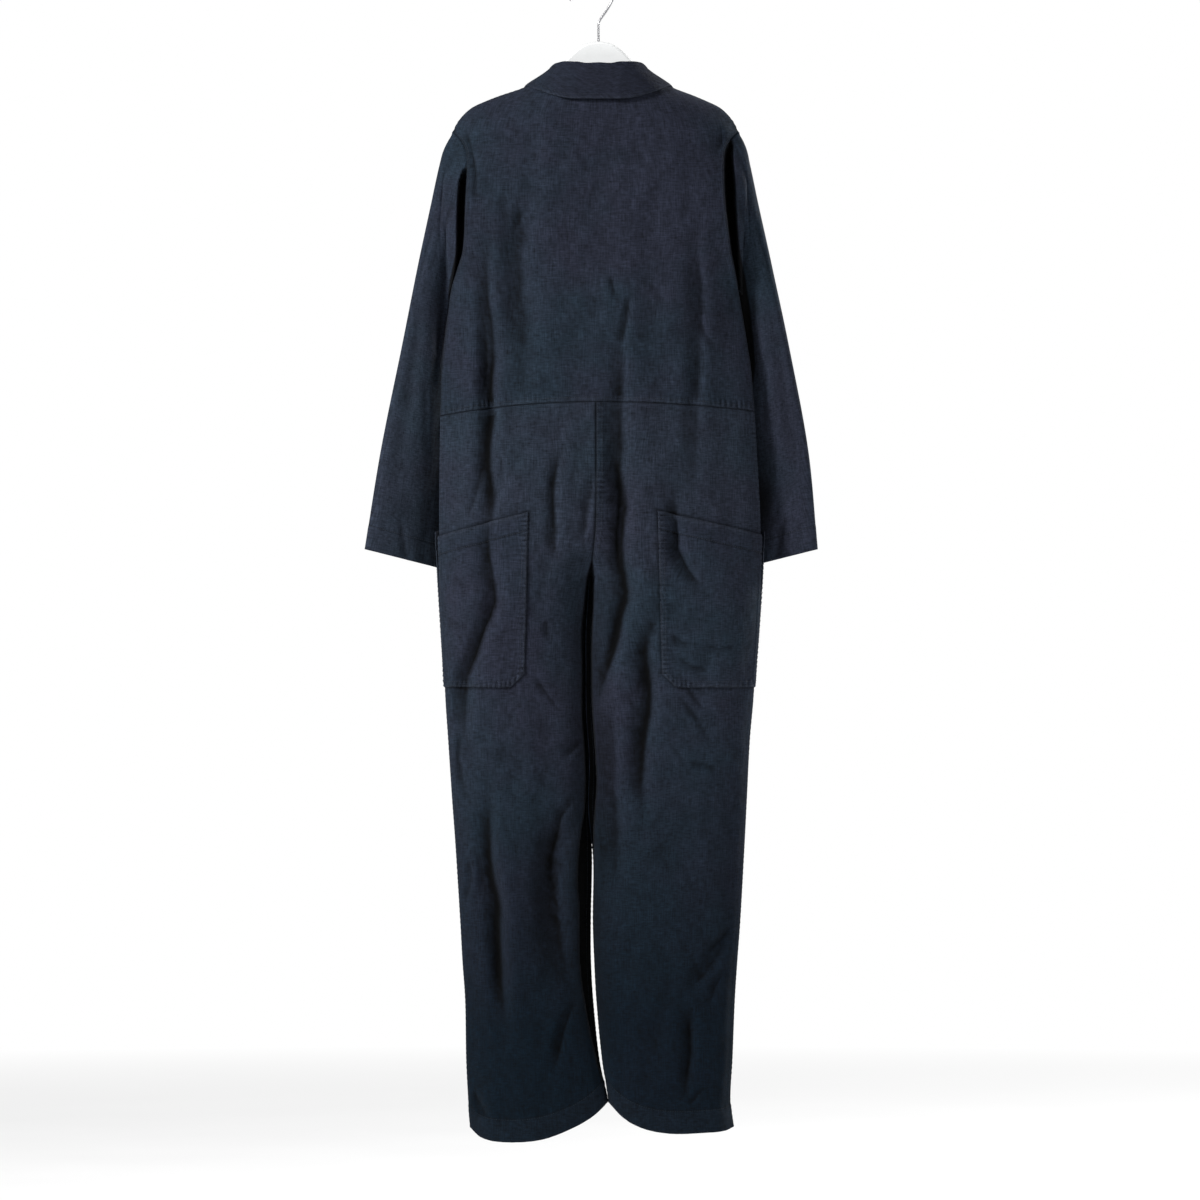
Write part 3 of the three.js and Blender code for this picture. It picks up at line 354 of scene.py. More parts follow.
BACK_CREASES = (
    (6, 1.2, 0.4, ((126, -290), (128, -330), (126, -375))),
    (4, 1.1, -0.4, ((100, -318), (108, -334), (114, -346), (123, -360))),
    (4, 2.6, 0.5, ((172, -204), (170, -240), (168, -275), (166, -330))),
    (4, 2.2, -0.5, ((-166, -200), (-166, -222), (-165, -250))),
    (6, 3, 0.5, ((160, -470), (153, -530), (156, -588))),
    (6, 3, -0.5, ((140, -510), (143, -545), (139, -600), (146, -640))),
    (5, 2.5, -0.5, ((-43, -425), (-36, -470), (-30, -505))),
    (4, 1.6, 0.5, ((-15, -405), (-18, -422), (-24, -440))),
    (5, 1.8, -0.4, ((-135, -470), (-146, -495), (-160, -510))),
    (5, 2, 0.5, ((129, -650), (131, -680), (135, -714))),
    (5, 2.4, -0.5, ((158, -655), (163, -690), (172, -726), (178, -745))),
    (5, 1.6, 0.4, ((53, -650), (56, -700), (62, -765))),
    (5, 1.8, 0.5, ((69, -875), (67, -905))),
    (6, 2.8, -0.5, ((2, -660), (10, -702), (24, -760))),
    (5, 2, -0.5, ((7, -700), (14, -735), (27, -775))),
    (6, 2.2, -0.4, ((-24, -640), (-29, -700), (-24, -760), (-28, -830))),
    (4, 1.3, 0.5, ((-117, -962), (-130, -980), (-147, -1001))),
    (4, 1, 0.5, ((-108, -975), (-117, -992))),
    (4, 1.3, 0.5, ((87, -946), (70, -972), (51, -998))),
    (5, 2.4, 0.5, ((184, -1020), (188, -1060), (180, -1130))),
    (5, 2, 0.6, ((176, -1190), (172, -1225), (178, -1262))),
    (5, 1.6, -0.5, ((163, -1180), (158, -1225), (160, -1250))),
    (5, 2.2, -0.5, ((17, -1024), (30, -1042), (46, -1066))),
    (6, 3, -0.5, ((22, -1095), (48, -1140), (60, -1185), (64, -1250))),
    (4, 1.2, 0.5, ((-110, -976), (-136, -1010), (-152, -1042))),
    (5, 1.4, 0.4, ((-120, -1064), (-140, -1070), (-166, -1074))),
    (5, 1.6, 0.4, ((-186, -1282), (-165, -1308), (-140, -1326))),
    (5, 2, 0.5, ((-172, -1345), (-155, -1370), (-148, -1400))),
    (5, 2, -0.5, ((-141, -1500), (-128, -1518), (-116, -1530))),
    (5, 1.7, 0.4, ((-126, -1400), (-121, -1455), (-112, -1515))),
    (7, 3.5, 0.6, ((25, -1380), (46, -1430), (66, -1490))),
    (6, 2.4, -0.5, ((172, -1505), (160, -1530), (148, -1552))),
    (5, 1.6, 0.5, ((-98, -890), (-112, -902), (-132, -905))),
    (5, 1.8, 0.5, ((-104, -918), (-124, -936), (-152, -940))),
    (5, 1.4, 0.5, ((-140, -905), (-160, -916), (-188, -912))),
    (5, 1.4, -0.5, ((196, -812), (184, -826), (170, -836))),
    (4, 1.2, -0.5, ((200, -870), (186, -880), (174, -878))),
)
FRONT_FOLDS = (
    (13, 3.2, 0.3, ((150, -300), (146, -400), (149, -500), (142, -590), (146, -670), (138, -730),
                    (142, -800), (136, -860))),
    (12, 2.6, -0.25, ((-146, -330), (-150, -430), (-141, -540), (-146, -640), (-138, -725))),
    (11, 2, 0.3, ((66, -380), (72, -470), (64, -560), (68, -640), (60, -720))),
    (12, 2.2, -0.25, ((-84, -470), (-76, -560), (-82, -660), (-70, -740), (-62, -800))),
    (10, 2.4, 0.3, ((70, -725), (44, -765), (22, -800), (14, -850))),
    (9, 1.8, -0.3, ((-50, -750), (-26, -790), (-6, -830))),
    (14, 2.6, 0.3, ((70, -890), (82, -1000), (78, -1120), (92, -1240), (84, -1360), (90, -1450))),
    (16, 2.4, 0.25, ((-112, -980), (-104, -1100), (-116, -1220), (-106, -1340))),
    (13, 2, -0.25, ((-48, -1050), (-40, -1160), (-50, -1270), (-44, -1400))),
)
FRONT_CREASES = (
    (5, 1.6, 0.5, ((158, -420), (150, -470), (154, -530))),
    (5, 1.4, -0.4, ((-128, -400), (-134, -450), (-126, -500))),
    (5, 1.4, 0.5, ((96, -240), (110, -290), (104, -350))),
    (4, 1.2, -0.5, ((-76, -330), (-92, -370), (-96, -410))),
    (5, 1.6, 0.5, ((124, -640), (96, -690), (64, -725))),
    (5, 1.4, -0.5, ((-126, -600), (-104, -640), (-84, -700))),
    (5, 1.3, 0.5, ((64, -850), (38, -880), (22, -930))),
    (5, 1.2, -0.5, ((-96, -990), (-70, -1010), (-36, -1060))),
    (5, 1.4, 0.5, ((160, -1090), (138, -1120), (106, -1135))),
    (5, 1.3, -0.5, ((-170, -1200), (-146, -1236), (-110, -1250))),
    (6, 1.6, 0.5, ((132, -1420), (124, -1480), (128, -1540))),
    (5, 1.4, -0.5, ((-88, -1440), (-80, -1490), (-86, -1540))),
)

# Sleeve folds: place round the tube in turns (0 the outer fold, 0.25 the back) at both ends,
# where they start and end along the sleeve, width in turns, and depth
SLEEVE_FOLDS = table(
    "turn drift start end width depth",
    (0.3, 0, 0.1, 0.5, 0.05, 6),
    (0.16, 0, 0.42, 0.86, 0.045, 4),
    (0.36, 0, 0.66, 1.02, 0.05, 6),
    (0.72, 0, 0.1, 0.55, 0.05, 6),
    (0.86, 0, 0.45, 0.95, 0.05, 4),
)
SLEEVE_CREASES = table(
    "turn drift start end width depth",
    (0.1, 0.1, 0.01, 0.22, 0.022, 2.6),
    (0.22, 0.06, 0.0, 0.17, 0.02, 2.2),
    (0.14, -0.05, 0.2, 0.44, 0.022, 1.8),
    (0.33, -0.04, 0.3, 0.62, 0.02, 2.2),
    (0.42, -0.1, 0.5, 0.72, 0.02, 2),
    (0.24, 0.05, 0.52, 0.8, 0.02, 1.6),
    (0.2, 0.05, 0.9, 1.04, 0.016, 2.4),
    (0.31, -0.02, 0.8, 1.0, 0.016, 1.4),
    (0.62, 0.08, 0.02, 0.2, 0.022, 2.6),
    (0.78, -0.06, 0.15, 0.42, 0.02, 2),
    (0.66, 0.06, 0.45, 0.7, 0.02, 2),
    (0.84, -0.05, 0.7, 0.98, 0.018, 1.8),
)


FOLDS = {BACK: (20, BACK_FOLDS, BACK_CREASES), FRONT: (40, FRONT_FOLDS, FRONT_CREASES)}


def trough(x, z, width, depth, bank, line, steep_side=STEEP_SIDE):
    """How far one fold sinks the cloth, less where its bank raises it."""
    line = np.array(line, float)
    low, high = line.min(0) - FOLD_REACH * width, line.max(0) + FOLD_REACH * width
    near = (x > low[0]) & (x < high[0]) & (z > low[1]) & (z < high[1])
    sunk = np.zeros(x.shape)
    px, pz = x[near], z[near]
    away = np.full(px.shape, 1e9)
    across, share = np.zeros(px.shape), np.zeros(px.shape)
    for i, (start, end) in enumerate(zip(line, line[1:])):
        run = end - start
        t = np.clip(((px - start[0]) * run[0] + (pz - start[1]) * run[1]) / (run @ run), 0, 1)
        dx, dz = px - start[0] - t * run[0], pz - start[1] - t * run[1]
        gap = np.hypot(dx, dz)
        closer = gap < away
        away = np.where(closer, gap, away)
        across = np.where(closer, np.copysign(gap, run[0] * dz - run[1] * dx), across)
        share = np.where(closer, (i + t) / (len(line) - 1), share)
    taper = 0.05 + 0.95 * smooth_step(0, 0.35, np.minimum(share, 1 - share))
    shift = np.where(bank > 0, 2.4, -1.5) * width
    steep = np.where(across > 0, WIDE_SIDE, steep_side)
    valley = np.exp(-((across / (width * steep)) ** 2))
    raised = BANK_HEIGHT * abs(bank) * np.exp(-(((across - shift) / (BANK_WIDTH * width)) ** 2))
    beyond = np.exp(-(np.maximum(0, away - np.abs(across)) / width) ** 2)
    sunk[near] = depth * taper * beyond * (valley - raised)
    return sunk


def uneven(x, z, seed):
    """Places in the folds' tables for places on the body, so that no fold runs straight."""
    bend = lambda wander, at: wander[0] * noise(x, z, *wander[1:], at)
    return x + bend(WANDER, seed) + bend(FINE_WANDER, seed + 1), z + bend(WANDER, seed + 2)


def crumples(x, z, rows, seed):
    """Hills and hollows of the cloth, added up over the rows of a table."""
    return sum(depth * noise(x + lean * z, z - lean * x, across, down, seed + i)
               for i, (depth, across, down, lean) in enumerate(rows))


def body_relief(face, x, z):
    """How far the body's cloth is sunk below its plain form by folds, flutes and crumples."""
    seed, folds, creases = FOLDS[face]
    fx, fz = uneven(x, z, seed)
    sunk = FOLD_STRENGTH * sum(trough(fx, fz, *fold) for fold in folds)
    sunk = sunk + CREASE_STRENGTH * sum(trough(fx, fz, *crease) for crease in creases)
    crumpled = 1 + LEG_CRUMPLING * smooth_step(LEG_CRUMPLE_START, LEG_CRUMPLE_FULL, z)
    sunk = sunk + crumples(x, z, BODY_FLUTES, seed + 3)
    return sunk + crumpled * crumples(x, z, BODY_CRUMPLES, seed + 5)


def fold_shade(point):
    """Shade in the folds of the body's cloth, which ends sharply at the foot of each."""
    seed, folds, creases = FOLDS[BACK if point[..., 1].mean() > 0 else FRONT]
    x, z = uneven(point[..., 0], point[..., 2], seed)
    shade = np.zeros(x.shape)
    for strength, rows in ((FOLD_SHADE, folds), (CREASE_SHADE, creases)):
        for width, depth, _, line in rows:
            share = trough(x, z, width, 1, 0, line, SHADE_SIDE)
            shade = np.maximum(shade, strength * depth * smooth_step(0.1, 0.6, share))
    return np.clip(shade, 0, MOST_SHADE)


def half_width(side, z):
    return column(BODY_WIDTH, "z", WORDS[side], z)


def width_at(x, z):
    return np.where(x > 0, half_width(LEFT, z), half_width(RIGHT, z))


def waist_z(x):
    drop = np.where(x > 0, WAIST_DROP[LEFT], WAIST_DROP[RIGHT])
    return WAIST_Z - drop * (np.abs(x) / WAIST_DROP_OVER) ** 2


def waist_seam_z(side, u):
    """The height of the waist seam at a share u of the way to the side."""
    return waist_z(side * u * half_width(side, WAIST_Z))


def parted(z):
    """How far the section has parted into two legs: 0 at the waist, 1 from the crotch down."""
    s = np.clip((RISE_START_Z - z) / (RISE_START_Z - CROTCH_Z), 0, 1)
    return 1 - np.sqrt(1 - s * s)


def inner_x(side, face, z):
    """The inner edge of a leg panel: the seat or front seam, then the inseam."""
    centre = column(LEG_SPLIT, "z", "centre", z)
    if face == FRONT:
        centre = mix(centre, 0, smooth_step(-810, -720, z))
    return centre + side * column(LEG_SPLIT, "z", "half", z)


def armhole_edge(z):
    middle = (SHOULDER_POINT_Z + UNDERARM_Z) / 2
    s = np.clip((z - middle) / (SHOULDER_POINT_Z - middle), -1, 1)
    return ARMHOLE_HALF_DEPTH * (1 - s * s) ** (ARMHOLE_CURVE / 2)


def eased(profile, z, count=9):
    """A profile's mean over a stretch of height, which takes the corners out of it."""
    return sum(profile(z + d) for d in np.linspace(-CREST_EASE, CREST_EASE, count)) / count


def top_edge(face, x):
    """The neckline and the shoulder seam: height and depth of the cloth's upper edge."""
    across = np.abs(x)
    round_ = np.sqrt(np.clip(1 - (across / NECK_HALF_WIDTH) ** 2, 0, 1))
    reach = np.where(x > 0, SHOULDER_REACH[LEFT], SHOULDER_REACH[RIGHT])
    along = mix(across, across * reach, smooth_step(80, 150, across))
    shoulder = column(SHOULDER_LINE, "x", "z", along)
    neck = NECK_SIDE_Z - NECK_DROP[face] * round_ ** NECK_CURVE
    return np.where(across < NECK_HALF_WIDTH, neck, shoulder), NECK_DEPTH[face] * round_


def body(face, side, u, z):
    """The middle surface of the body. u runs from the centre or inseam (0) to the side (1)."""
    u, z = np.broadcast_arrays(np.asarray(u, float), np.asarray(z, float))
    split = parted(z)
    inner = np.where(z < HIP_START_Z, inner_x(side, face, z), 0)
    x = inner + u * (side * half_width(side, z) - inner)
    across = np.clip(np.abs(x) / width_at(x, z), 0, 1)
    torso = (1 - across ** BODY_FLATNESS) ** SIDE_CREASE
    crease = np.where(u < 0.5, INSEAM_CREASE, SIDE_CREASE)
    leg = np.clip(1 - np.abs(2 * u - 1) ** BODY_FLATNESS, 0, 1) ** crease
    depth = column(BODY_DEPTH, "z", "back" if face == BACK else "front", z)
    edge = mix(eased(armhole_edge, z), armhole_edge(z), smooth_step(0.93, 1, across))
    open_ = mix(split, eased(parted, z), smooth_step(0, 0.07, u))
    y = mix(edge + (depth - edge) * torso, depth * leg, open_)
    if face == BACK:
        pit = column(LEG_PIT, "z", WORDS[side], z)
        out_of_pit = smooth_step(pit - LEG_PIT_WALL / 2, pit + LEG_PIT_WALL / 2, np.abs(x - inner))
        y = y * mix(1, out_of_pit, smooth_step(0, 2, pit) * split)
    top, top_y = top_edge(face, x)
    below = np.clip((top - z) / SHOULDER_ROUND, 0, 1)
    y = mix(top_y, y, np.sqrt(1 - (1 - below) ** 2))
    side_fade = smooth_step(0, EDGE_FADE, 1 - u)
    inner_fade = mix(1, smooth_step(0, EDGE_FADE, u), smooth_step(0, 0.2, split))
    y = y - body_relief(face, x, z) * side_fade * inner_fade * smooth_step(0, 1, below)
    step = side * column(LEG_SPLIT, "z", "step", z) * (1 - u) ** 4 * split
    return np.stack([x, face * (y - SEAM_OVERLAP) - step, z], -1)


def panel_top(face, side, u):
    """The height of a torso panel's upper edge on the line u."""
    z = np.full(np.shape(u), float(NECK_SIDE_Z))
    for _ in range(12):
        z = top_edge(face, side * u * half_width(side, z))[0]
    return z


def torso_surface(face, side):
    def surface(u, v):
        high = panel_top(face, side, u) - SEAM_GAP * smooth_step(0.4, 0.36, u)
        foot = waist_seam_z(side, u) + SEAM_GAP / 2
        return body(face, side, u, mix(foot, high, 1 - (1 - v) ** 1.25))
    return surface


def back_surface(a, v):
    """The back of the bodice is one piece; a runs from its right side to its left."""
    right = torso_surface(BACK, RIGHT)(np.clip(1 - 2 * a, 0, 1), v)
    left = torso_surface(BACK, LEFT)(np.clip(2 * a - 1, 0, 1), v)
    return np.where((a < 0.5)[..., None], right, left)


def leg_share(t):
    return (1 - np.cos(np.pi * t)) / 2


def hem_z(face, side, u):
    return column(LEG_EDGE, "u", "front" if face == FRONT else "back_" + WORDS[side], u)


def leg_surface(face, side):
    def surface(t, v):
        u = leg_share(t)
        top = waist_seam_z(side, u) - SEAM_GAP / 2
        return body(face, side, u, mix(hem_z(face, side, u), top, v))
    return surface


def leg_place(face, side, t, z):
    """The leg surface's own second parameter for a height."""
    u = leg_share(t)
    top, low = waist_seam_z(side, u) - SEAM_GAP / 2, hem_z(face, side, u)
    return (z - low) / (top - low)


def sleeve_sunk(turn, s):
    """How far a sleeve's folds sink the cloth, less where the cloth beside them rises."""
    sunk = np.zeros(np.broadcast(turn, s).shape)
    for folds in (SLEEVE_FOLDS, SLEEVE_CREASES):
        for place, drift, start, end, width, depth in zip(*folds.values()):
            along = np.clip((s - start) / (end - start), 0, 1)
            away = (turn - place - drift * along) / width
            sunk = sunk + depth * np.sin(np.pi * along) * np.exp(-away * away)
            sunk = sunk - 0.4 * depth * np.sin(np.pi * along) * np.exp(-((away - 1.9) / 1.3) ** 2)
    return sunk


def sleeve_pit(side, s, rise):
    """Where the back of a sleeve stays deep beside the armhole: 1 in the pit, 0 outside it."""
    end = column(ARMHOLE_PIT, "rise", WORDS[side], rise)
    pit = smooth_step(0.001, 0.006, s) * smooth_step(end, end - 0.007, s)
    return pit * smooth_step(0.004, 0.01, end)


def sleeve_surface(side):
    def surface(turn, s):
        turn, s = np.broadcast_arrays(np.asarray(turn, float) % 1, np.asarray(s, float))
        at = lambda name: column(SLEEVE, "s", name, s)
        inwards = column(SLEEVE_RIGHT_IN, "s", "by", s) if side == RIGHT else 0
        angle = turn * 2 * np.pi
        sine, share = np.sin(angle), (1 - np.cos(angle)) / 2
        x = mix(at("out_x"), at("in_x"), share) - inwards
        y = mix(at("out_y"), at("in_y"), share)
        z = mix(at("out_z"), at("in_z"), share)
        power = mix(ARMHOLE_CURVE, SLEEVE_ROUNDNESS, smooth_step(0, 0.1, s))
        half = np.where(sine > 0, at("back"), at("front"))
        fade = smooth_step(0, 0.25, np.abs(sine)) * smooth_step(0, 0.02, s)
        around, down = turn * SLEEVE_GIRTH + 500 * (side + 2), s * SLEEVE_LENGTH
        sunk = sleeve_sunk(turn, s) + crumples(around, down, SLEEVE_CRUMPLES, 60)
        round_ = np.abs(sine) ** power
        tuck = smooth_step(0.008, 0, s)
        y = y + np.sign(sine) * (half * round_ * (1 + 0.05 * tuck ** 3) - sunk * fade)
        pit = sleeve_pit(side, s, np.cos(angle))
        y = y - np.where(sine > 0, ARMHOLE_PIT_DEPTH * pit * round_, 0)
        near_seam = (1 - np.clip(s / 0.1, 0, 1)) ** 2
        seam_z = mix(SHOULDER_POINT_Z, UNDERARM_Z, share)
        seam_x = half_width(side, seam_z) + 1 - 3.5 * tuck
        z = z + tuck * np.where(share < 0.5, -2.5, 2.5)
        return np.stack([side * mix(x, seam_x, near_seam), y, z], -1)
    return surface


def collar_foot(v):
    angle = v * np.pi
    back = v < 0.5
    depth = np.where(back, NECK_DEPTH[BACK], NECK_DEPTH[FRONT]) - COLLAR_INSET
    drop = np.where(back, NECK_DROP[BACK], NECK_DROP[FRONT])
    z = NECK_SIDE_Z + COLLAR_INSET - drop * np.abs(np.cos(angle)) ** NECK_CURVE
    return np.stack([(NECK_HALF_WIDTH - COLLAR_INSET) * np.sin(angle), depth * np.cos(angle), z], -1)


def collar_surface(a, w):
    """The collar from its foot (w = 0) up the stand, over the roll and down to its edge (1)."""
    a, w = np.broadcast_arrays(np.asarray(a, float), np.asarray(w, float))
    v = mix(-COLLAR_REACH, COLLAR_REACH, a)
    half = np.abs(v)
    at = lambda name: column(COLLAR, "v", name, half)
    foot = collar_foot(half)
    roll = np.stack([at("roll_x"), at("roll_y"), at("roll_z")], -1)
    edge = np.stack([at("edge_x"), at("edge_y"), at("edge_z")], -1)
    ripple = 1.3 * noise(v * 260, v * 0, 24, 10, 71) * smooth_step(0.2, 0.4, w)
    roll[..., 2] += ripple
    out = (edge - foot) * (1, 1, 0)
    out = out / np.linalg.norm(out, axis=-1, keepdims=True)
    w = w[..., None]
    stand = mix(foot, roll - ROLL_RADIUS * out, np.clip(w / ROLL_START, 0, 1))
    angle = np.pi * (w - ROLL_START) / (ROLL_END - ROLL_START)
    over = roll - ROLL_RADIUS * np.cos(angle) * out + ROLL_RADIUS * np.sin(angle) * np.array([0, 0, 1])
    t = np.clip((w - ROLL_END) / (1 - ROLL_END), 0, 1)
    fall = mix(roll + ROLL_RADIUS * out, edge, t) + COLLAR_ROUND * np.sin(np.pi * t) * out
    point = np.where(w < ROLL_START, stand, np.where(w < ROLL_END, over, fall))
    return point * np.stack([np.where(v < 0, -1, 1), np.ones(v.shape), np.ones(v.shape)], -1)


def front_surface(x, z):
    """The front of the body at a place near its middle, given by x and z."""
    points = []
    for side in (LEFT, RIGHT):
        inner = np.where(z < HIP_START_Z, side * inner_x(side, FRONT, z), 0)
        u = np.clip((np.abs(x) - inner) / (half_width(side, z) - inner), 0, 1)
        points.append(body(FRONT, side, u, z))
    return np.where((x >= 0)[..., None], points[0], points[1])


def unit(vectors):
    return vectors / np.maximum(np.linalg.norm(vectors, axis=-1, keepdims=True), 1e-9)


class Panel:
    """A piece of cloth: its middle surface, which way it faces and how far it stands out."""

    def __init__(self, surface, facing, lift=None, thickness=CLOTH, square=None, closed=False):
        self.surface, self.facing, self.closed = surface, facing, closed
        self.lift = lift or (lambda a, b, point: np.zeros(a.shape))
        self.thickness, self.square = thickness, square

    def normal(self, a, b):
        step = 1.5e-3
        a0, a1 = a - step, a + step
        if not self.closed:
            a0, a1 = np.maximum(a0, 0), np.minimum(a1, 1)
        b0, b1 = np.maximum(b - step, 0), np.minimum(b + step, 1)
        along_a = self.surface(a1, b) - self.surface(a0, b)
        along_b = self.surface(a, b1) - self.surface(a, b0)
        normal = unit(np.cross(along_a, along_b)) * self.facing
        return unit(normal * self.square(a, b)) if self.square else normal

    def outer(self, a, b, off=0):
        """Points on the outer face, and the way out from it."""
        point, normal = self.surface(a, b), self.normal(a, b)
        return point + normal * (self.thickness / 2 + self.lift(a, b, point) + off)[..., None], normal


def cells(length, size, crowd=0.4):
    """An even number of steps from 0 to 1, closer together towards both ends."""
    count = 2 * max(2, round(length / size / 2))
    s = np.linspace(0, 1, count + 1)
    return s - crowd * np.sin(2 * np.pi * s) / (2 * np.pi)


def quads(index, uv):
    corners = [np.s_[:-1, :-1], np.s_[:-1, 1:], np.s_[1:, 1:], np.s_[1:, :-1]]
    return (np.stack([index[c].ravel() for c in corners], -1),
            np.stack([uv[c].reshape(-1, 2) for c in corners], 1))


def rim(fine, coarse, uv):
    """Triangles that join a fine edge to one with half as many steps."""
    a, b, c = fine[:-1:2], fine[1::2], fine[2::2]
    p, q = coarse[:-1], coarse[1:]
    ua, ub, uc = uv[:-1:2], uv[1::2], uv[2::2]
    triangles = np.concatenate([np.stack(t, -1) for t in ((a, b, p), (b, q, p), (b, c, q))])
    corners = np.concatenate([np.stack(t, 1) for t in ((ua, ub, ua), (ub, uc, ua), (ub, uc, uc))])
    return triangles, corners


def arc(points, axis):
    step = np.linalg.norm(np.diff(points, axis=axis), axis=-1)
    start = np.zeros_like(np.take(step, [0], axis=axis))
    return np.concatenate([start, np.cumsum(step, axis=axis)], axis=axis)


def world(points):
    return (points - (BOW_OFFSET, 0, 0)) * MM


def mesh_object(name, points, faces, material, corner_uv=None, **marks):
    """A smooth mesh in metres from points in millimetres."""
    mesh = bpy.data.meshes.new(name)
    mesh.from_pydata(world(points).tolist(), [], faces)
    if corner_uv is not None:
        mesh.uv_layers.new(name="weave").data.foreach_set("uv", corner_uv.ravel())
    for mark, values in marks.items():
        mesh.attributes.new(mark, "FLOAT", "POINT").data.foreach_set("value", values)
    shaped = bmesh.new()
    shaped.from_mesh(mesh)
    bmesh.ops.recalc_face_normals(shaped, faces=shaped.faces)
    shaped.to_mesh(mesh)
    shaped.free()
    mesh.polygons.foreach_set("use_smooth", [True] * len(mesh.polygons))
    mesh.materials.append(material)
    piece = bpy.data.objects.new(name, mesh)
    bpy.context.scene.collection.objects.link(piece)
    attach(piece, "root")
    return piece


def hung_weave(point, lean):
    """Where the points lie in the woven cloth, whose warp hangs down or leans by an angle."""
    sine, cosine = math.sin(lean), math.cos(lean)
    x = point[..., 0] * cosine + point[..., 2] * sine
    z = point[..., 2] * cosine - point[..., 0] * sine
    middle = (x.min(1, keepdims=True) + x.max(1, keepdims=True)) / 2
    depth = np.abs(point[..., 1])
    turned = np.clip((x - middle) / 40, -1, 1) * (depth.max() - depth)
    return np.stack([x + turned, z], -1) * MM


def hollow(point, normal, reach):
    """How far the cloth lies below its surroundings at a number of cells away."""
    wide = np.pad(point, ((reach, reach), (reach, reach), (0, 0)), mode="edge")
    rows, columns = slice(reach, -reach), slice(reach, -reach)
    near = (wide[2 * reach:, columns] + wide[:-2 * reach, columns]
            + wide[rows, 2 * reach:] + wide[rows, :-2 * reach]) / 4
    within = np.zeros(point.shape[:2])
    within[reach:-reach, reach:-reach] = 1
    return ((near - point) * normal).sum(-1) * within


def cavity(point, normal):
    """Painted shade in small gathers and in the bottoms of folds; ridges are painted a little paler."""
    small = np.clip(hollow(point, normal, 2), *SMALL_HOLLOWS)
    broad = np.clip(hollow(point, normal, 6), *BROAD_HOLLOWS)
    return SMALL_SHADE * small + BROAD_SHADE * broad


def darkened(dark, shade):
    """The painted shade of folds on top of the painted shadows; away from both, ridges are painted a little
    paler.
    """
    dark = np.maximum(dark, np.minimum(DARKEST, dark + shade))
    return np.where(dark < 0.02, np.clip(shade, *OPEN_SHADE), dark)


def wall(panel, point, low, uv, wrap):
    """The faces of a wall with a fine outer side and a coarse inner side, and their corners."""
    fine = wrap(np.arange(point[..., 0].size).reshape(point.shape[:2]))
    coarse = wrap(fine.max() + 1 + np.arange(low[..., 0].size).reshape(low.shape[:2]))
    parts = [quads(fine, uv), quads(coarse[:, ::-1], uv[::2, ::2][:, ::-1]),
             rim(fine[0], coarse[0], uv[0]), rim(fine[-1], coarse[-1], uv[-1])]
    if not panel.closed:
        parts += [rim(fine[:, 0], coarse[:, 0], uv[:, 0]), rim(fine[:, -1], coarse[:, -1], uv[:, -1])]
    faces = [face for part in parts for face in part[0].tolist()]
    return faces, np.concatenate([part[1].reshape(-1, 2) for part in parts])


def cloth_piece(node, panel, a, b, wear=None, hem=None, visual=1.1, lean=0,
                shadow=None, weave=hung_weave, folds=fold_shade):
    """A closed wall of cloth on a panel's surface, which stands for the node of the frame."""
    grid_a, grid_b = np.meshgrid(a[:-1] if panel.closed else a, b)
    nothing = np.zeros(grid_a.shape)
    point, normal = panel.outer(grid_a, grid_b)
    inset = visual + (hem(grid_a, grid_b) if hem else nothing)
    low = (point - normal * inset[..., None])[::2, ::2]
    wrap = (lambda g: np.concatenate([g, g[:, :1]], 1)) if panel.closed else (lambda g: g)
    across, down = arc(wrap(point), 1), arc(wrap(point), 0)
    uv = weave(wrap(point), lean) if weave else np.stack([across, down], -1) * MM
    faces, corner_uv = wall(panel, point, low, uv, wrap)
    # Paler cloth from wear and from painted light; the shadow values below are painted shade
    paled = wear(grid_a, grid_b) if wear else nothing
    dark = shadow(grid_a, grid_b, point) if shadow else nothing
    dark = darkened(dark, cavity(point, normal) + (folds(point) if folds else 0))
    both_sides = lambda values: np.concatenate([values.ravel(), values[::2, ::2].ravel()])
    points = np.concatenate([point.reshape(-1, 3), low.reshape(-1, 3)])
    piece = mesh_object(node + "_cloth", points, faces, cloth, corner_uv,
                        wear=both_sides(paled), shadow=both_sides(dark))
    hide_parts(node)


def pucker(along, away, period, depth, reach, seed):
    """Small gathers that stitching draws into the cloth beside it."""
    phase = 2 * np.pi * along / period + 2.6 * noise(along, away * 0, 23, 10, seed)
    strength = 0.65 + 0.5 * noise(along, away * 0, 29, 10, seed + 1)
    return depth * np.sin(phase) * strength * np.exp(-(away / reach) ** 2)


def groove(away, depth, width):
    """A narrow hollow along a line: how far it sinks, or how dark it is."""
    return depth * np.exp(-(away / width) ** 2)


def seam_lift(away, along, seed, raised=0.3, gathers=0.4):
    """A seam's dip at its edge, the raised allowance beside it, and the row of stitches."""
    allowance = raised * (1 - smooth_step(STITCH_ROW + 1, STITCH_ROW + 4, away))
    dips = groove(away, -0.9, 1.2) + groove(away - STITCH_ROW, -0.25, 1.1)
    return dips + allowance + pucker(along, away - STITCH_ROW, 6.8, 1.5 * gathers, 6, seed)


def hem_lift(row, depth, width):
    """Doubled cloth up to a hem's row of stitches, which sinks into it."""
    return depth * (1 - smooth_step(-1, 2, row)) + groove(row, -depth, width)


def edge_dip(away):
    return groove(away, -0.7, 1.3)


def line_shadow(away, strength, width=1.1):
    """The dark line of painted shadow that a seam or an edge shows beside it."""
    return groove(away, strength, width)


def torso_shadow(a, b, point):
    """Painted shadow along the waist seam and the sides."""
    x, z = point[..., 0], point[..., 2]
    side = width_at(x, z) - np.abs(x)
    return np.maximum(line_shadow(z - waist_z(x), 0.5), line_shadow(side, 0.35, 2))


